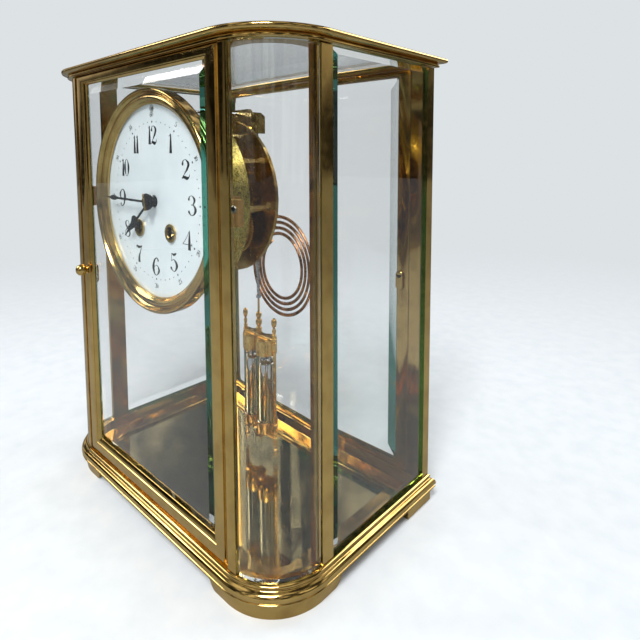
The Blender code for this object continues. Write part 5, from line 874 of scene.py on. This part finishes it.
def make_pendulum_pieces():
    """Columns, caps, cups and stem of the mercury pendulum, and the vials with their mercury."""
    height = COLUMN_TOP - COLUMN_BOTTOM
    profile = [(COLUMN_RADIUS * radius, COLUMN_BOTTOM + height * share) for radius, share in COLUMN_PROFILE]
    profile = rounded(profile, TURNED_EASE)
    columns = [lathe_up(profile, (side * COLUMN_SIDE, PENDULUM_Y), steps=28) for side in (-1, 1)]
    cap_top = VIAL_TOP + CAP_HEIGHT
    cap_seat = cap_top - BAR_THICKNESS / 3
    cup_bottom = VIAL_BOTTOM - GAP - CAP_HEIGHT + CAP_OVERLAP
    cup_seat = cup_bottom + BAR_THICKNESS / 3
    neck = VIAL_RADIUS + GAP
    cap = [
        (0.0, VIAL_TOP + GAP), (neck, VIAL_TOP + GAP), (neck, VIAL_TOP - CAP_OVERLAP),
        (CAP_RADIUS, VIAL_TOP - CAP_OVERLAP), (CAP_RADIUS, cap_top - BAR_THICKNESS / 2),
        (CAP_RADIUS * CAP_CROWN_SHARE, cap_seat), (0.0, cap_seat),
    ]
    cup = [
        (0.0, cup_seat), (CAP_RADIUS * CUP_BOWL_SHARE, cup_seat), (CAP_RADIUS, cup_bottom + BAR_THICKNESS),
        (CAP_RADIUS, VIAL_BOTTOM + CAP_OVERLAP), (neck, VIAL_BOTTOM + CAP_OVERLAP),
        (neck, VIAL_BOTTOM - GAP), (0.0, VIAL_BOTTOM - GAP),
    ]
    caps = [
        lathe_up(rounded(shape, CAP_EASE), (side * VIAL_SIDE, PENDULUM_Y), steps=40)
        for side in (-1, 1) for shape in (cap, cup)
    ]
    stem_low = cap_top - BAR_THICKNESS / 2
    stem = [
        (STEM_RADIUS * radius, stem_low + (STEM_TOP - stem_low) * share)
        for radius, share in STEM_PROFILE
    ]
    below, above = cup_bottom - RATING_SCREW_REACH[0], cup_bottom + RATING_SCREW_REACH[1]
    screw = [(0.0, below), (RATING_SCREW_RADIUS, below), (RATING_SCREW_RADIUS, above), (0.0, above)]
    middle = [
        lathe_up(rounded(stem, TURNED_EASE), (0, PENDULUM_Y), steps=28),
        lathe_up(screw, (0, PENDULUM_Y), steps=20),
    ]
    bars = [pendulum_bar(cap_top - BAR_THICKNESS), pendulum_bar(cup_bottom)]
    # Columns, caps and bars take the lighter brass, whose extra brightness is painted light.
    piece("pendulum_columns", columns + middle, LIT_PENDULUM_BRASS, "pendulum", ["pendulum_frame"])
    piece("vial_caps", caps, LIT_PENDULUM_BRASS, "pendulum")
    piece("pendulum_bars", bars, LIT_PENDULUM_BRASS, "pendulum", caps=True)

    bore = VIAL_RADIUS - VIAL_WALL
    floor = VIAL_BOTTOM + VIAL_FLOOR
    tube = [
        (0.0, VIAL_BOTTOM), (VIAL_RADIUS, VIAL_BOTTOM), (VIAL_RADIUS, VIAL_TOP), (bore, VIAL_TOP),
        (bore, floor), (0.0, floor),
    ]
    tube = rounded(tube, VIAL_EASE, steps=5)
    fill, base = bore - MERCURY_GAP, floor + MERCURY_GAP
    level = [(0.0, base), (fill, base), (fill, MERCURY_LEVEL - MENISCUS), (0.0, MERCURY_LEVEL)]
    level = rounded(level, MERCURY_EASE, steps=6)
    for side, name in ((-1, "left"), (1, "right")):
        place = (side * VIAL_SIDE, PENDULUM_Y)
        glass, metal_fill = lathe_up(tube, place, steps=48), lathe_up(level, place, steps=48)
        piece("vial_tube_" + name, [glass], VIAL_GLASS, "pendulum", ["vial_" + name])
        piece("mercury_fill_" + name, [metal_fill], MERCURY, "pendulum", ["mercury_" + name])


def make_gong_wire():
    """Round wire along a flat spiral whose radius falls evenly with the angle; rings square to its path."""
    angle = np.linspace(0, TURN * GONG_TURNS, GONG_STEPS * GONG_TURNS + 1)
    radius = GONG_RADIUS - GONG_PITCH * angle / TURN
    turn = GONG_START - angle
    depth = np.full_like(turn, at_depth(GONG_DEPTH))
    path = np.stack([radius * np.cos(turn), depth, GONG_HEIGHT + radius * np.sin(turn)], -1)
    lead = path[0] - path[1]
    tail = path[-1] - path[-2]
    reach = 2 * GONG_WIRE
    first = path[0] + lead / np.linalg.norm(lead) * reach
    last = path[-1] + tail / np.linalg.norm(tail) * reach
    path = np.vstack([first, path, last])
    way = np.gradient(path, axis=0)
    way /= np.linalg.norm(way, axis=1, keepdims=True)
    across = np.array([0.0, 1.0, 0.0])
    other = np.cross(way, across)
    bend = TURN * np.arange(WIRE_STEPS) / WIRE_STEPS
    ring = across * np.cos(bend)[:, None] + other[:, None] * np.sin(bend)[:, None]
    grid = path[:, None] + GONG_WIRE * ring
    piece("gong_wire", [grid], GONG_COPPER, "case", ["gong"], caps=True)


def dress_nodes():
    """Gives every CAD node that still shows its finish."""
    finishes = {
        "brass": CASE_BRASS, "train_brass": MOVEMENT_BRASS, "steel": STEEL, "black_steel": BLUED_STEEL,
        "glass": PLATE_GLASS, "enamel": ENAMEL, "mercury": MERCURY, "gong_steel": GONG_COPPER,
    }
    for entry in frame["record"]["subparts"]:
        node = frame["nodes"][entry["node"]]
        node.data.materials.clear()
        node.data.materials.append(finishes[entry["material_slot"]])
    special = {
        "floor_plate": MIRROR_BRASS, "movement_ring": RING_BRASS, "going_barrel": BARREL_BRASS,
        "strike_barrel": BARREL_BRASS,
    }
    for name, paint in special.items():
        frame["nodes"][name].data.materials[0] = paint


def make_floor():
    """Pale stone floor that fades into the background. Metal and glass mirror it dimmer than it is."""
    made, tree, shader = new_material("pale_stone_floor")
    cloud = ramp(tree, noise(tree, 12 * MM, 6.0), *CLOUD_RANGE)
    pale = blend_colours(tree, cloud, colour("#D9DDE0"), colour("#D1D6DA"))
    mirrored = add(tree, "LightPath").outputs["Glossy Depth"]
    dimming = ramp(tree, mirrored, 0.0, 1.0, 1.0, MIRRORED_FLOOR)
    dimmed = add(tree, "VectorMath", {0: pale, "Scale": dimming}, operation="SCALE")
    tree.links.new(dimmed.outputs[0], shader.inputs["Base Color"])
    shader.inputs["Roughness"].default_value = 0.85
    place = add(tree, "TexCoord").outputs["Object"]
    away = add(tree, "VectorMath", {0: place}, operation="LENGTH").outputs["Value"]
    haze_strength = ramp(tree, mirrored, 0.0, 1.0, 1.0, MIRRORED_HAZE)
    haze = add(tree, "Emission", {"Color": colour(BACKGROUND), "Strength": haze_strength})
    fade = ramp(tree, away, *FLOOR_FADE)
    mixed = add(tree, "MixShader", {0: fade, 1: shader.outputs[0], 2: haze.outputs[0]})
    tree.links.new(mixed.outputs[0], tree.nodes["Material Output"].inputs["Surface"])
    mesh = bpy.data.meshes.new("floor")
    corners = [(x * FLOOR_REACH, y * FLOOR_REACH, 0) for x, y in ((-1, -1), (1, -1), (1, 1), (-1, 1))]
    mesh.from_pydata(corners, [], [(0, 1, 2, 3)])
    mesh.materials.append(made)
    floor = bpy.data.objects.new("floor", mesh)
    bpy.context.scene.collection.objects.link(floor)


def make_lamps():
    """Square area lamps that face the clock's middle."""
    for name, place, size, power in LAMPS:
        lamp = bpy.data.lights.new(name, "AREA")
        lamp.size = size
        lamp.energy = power
        lamp_object = bpy.data.objects.new(name, lamp)
        lamp_object.location = place
        aim = Vector(LAMP_TARGET) - Vector(place)
        lamp_object.rotation_euler = aim.to_track_quat("-Z", "Y").to_euler()
        bpy.context.scene.collection.objects.link(lamp_object)


def make_world():
    """Plain background for what is looked at, also through glass, soft light for dull surfaces, and for metal
    a darker studio with cloudy windows and a dark card at the front left."""
    world = bpy.data.worlds.new("studio")
    bpy.context.scene.world = world
    world.use_nodes = True
    tree = world.node_tree
    tree.nodes.clear()
    way = add(tree, "TexCoord").outputs["Generated"]
    height = add(tree, "SeparateXYZ", {0: way}).outputs["Z"]
    upright = add(tree, "Mapping", {"Vector": way, "Scale": (1.0, 1.0, 0.6)}).outputs[0]
    clouds = {"Vector": upright, "Scale": 4.2, "Detail": 5.0, "Roughness": 0.6}
    windows = ramp(tree, add(tree, "TexNoise", clouds).outputs["Fac"], *WINDOW_RANGE, *WINDOW_TONES)
    sky = ramp(tree, height, *SKY_HEIGHTS, *SKY_TONES)
    lights = add(tree, "Math", {0: windows, 1: sky}, operation="MULTIPLY").outputs[0]
    towards_card = add(tree, "VectorMath", {0: way, 1: DARK_CARD_WAY}, operation="DOT_PRODUCT")
    card = ramp(tree, towards_card.outputs["Value"], *DARK_CARD_EDGE, 1.0, DARK_CARD_TONE)
    shown = add(tree, "Math", {0: lights, 1: card}, operation="MULTIPLY").outputs[0]
    path = add(tree, "LightPath")
    straight = add(tree, "Math", {0: path.outputs["Glossy Depth"], 1: 0.5}, operation="LESS_THAN").outputs[0]
    passed = path.outputs["Is Transmission Ray"]
    glazed = add(tree, "Math", {0: passed, 1: straight}, operation="MULTIPLY").outputs[0]
    seen = add(tree, "Math", {0: path.outputs["Is Camera Ray"], 1: glazed}, operation="MAXIMUM")
    plain = add(tree, "Background", {"Color": colour(BACKGROUND), "Strength": 1.0})
    soft = add(tree, "Background", {"Color": colour("#E4E8EC"), "Strength": 0.55})
    studio = add(tree, "Background", {"Color": colour("#F4F1EA"), "Strength": shown})
    glossy = path.outputs["Is Glossy Ray"]
    lit = add(tree, "MixShader", {0: glossy, 1: soft.outputs[0], 2: studio.outputs[0]})
    final = add(tree, "MixShader", {0: seen.outputs[0], 1: lit.outputs[0], 2: plain.outputs[0]})
    output = add(tree, "OutputWorld")
    tree.links.new(final.outputs[0], output.inputs["Surface"])


def make_camera():
    """Camera at the photograph's viewing angle."""
    eye = Vector(EYE) * MM
    ahead = Vector((-math.sin(YAW) * math.cos(PITCH), math.cos(YAW) * math.cos(PITCH), math.sin(PITCH)))
    level = Vector((math.cos(YAW), math.sin(YAW), 0))
    up = level.cross(ahead)
    right = level * math.cos(ROLL) + up * math.sin(ROLL)
    above = up * math.cos(ROLL) - level * math.sin(ROLL)
    data = bpy.data.cameras.new("camera")
    data.sensor_width = SENSOR_WIDTH
    data.lens = FOCAL_PIXELS / PIXELS * data.sensor_width
    data.shift_x = 0.5 - MIDDLE_X / PIXELS
    data.shift_y = MIDDLE_Y / PIXELS - 0.5
    data.clip_start = CLIP_START
    camera = bpy.data.objects.new("camera", data)
    camera.matrix_world = Matrix((
        (right.x, above.x, -ahead.x, eye.x), (right.y, above.y, -ahead.y, eye.y),
        (right.z, above.z, -ahead.z, eye.z), (0, 0, 0, 1),
    ))
    bpy.context.scene.collection.objects.link(camera)
    bpy.context.scene.camera = camera


make_camera()
make_floor()
make_lamps()
make_world()
dress_nodes()
make_base_and_top()
for side, name in ((-1, "left"), (1, "right")):
    make_front_foot(side, name)
    make_corner_pane(side, name)
    make_post_and_bracket(side, name)
for name, outward in (("front_door", -1), ("rear_door", 1)):
    make_door_frame(name, name, outward)
    make_knob(name + "_knob", outward)
make_bezel_and_ring()
make_dial_markings()
make_hub()
make_pendulum_pieces()
make_gong_wire()
bpy.context.scene.view_settings.view_transform = "Standard"
bpy.context.scene.cycles.max_bounces = 20
bpy.context.scene.cycles.transmission_bounces = 20
bpy.context.scene.cycles.glossy_bounces = 8
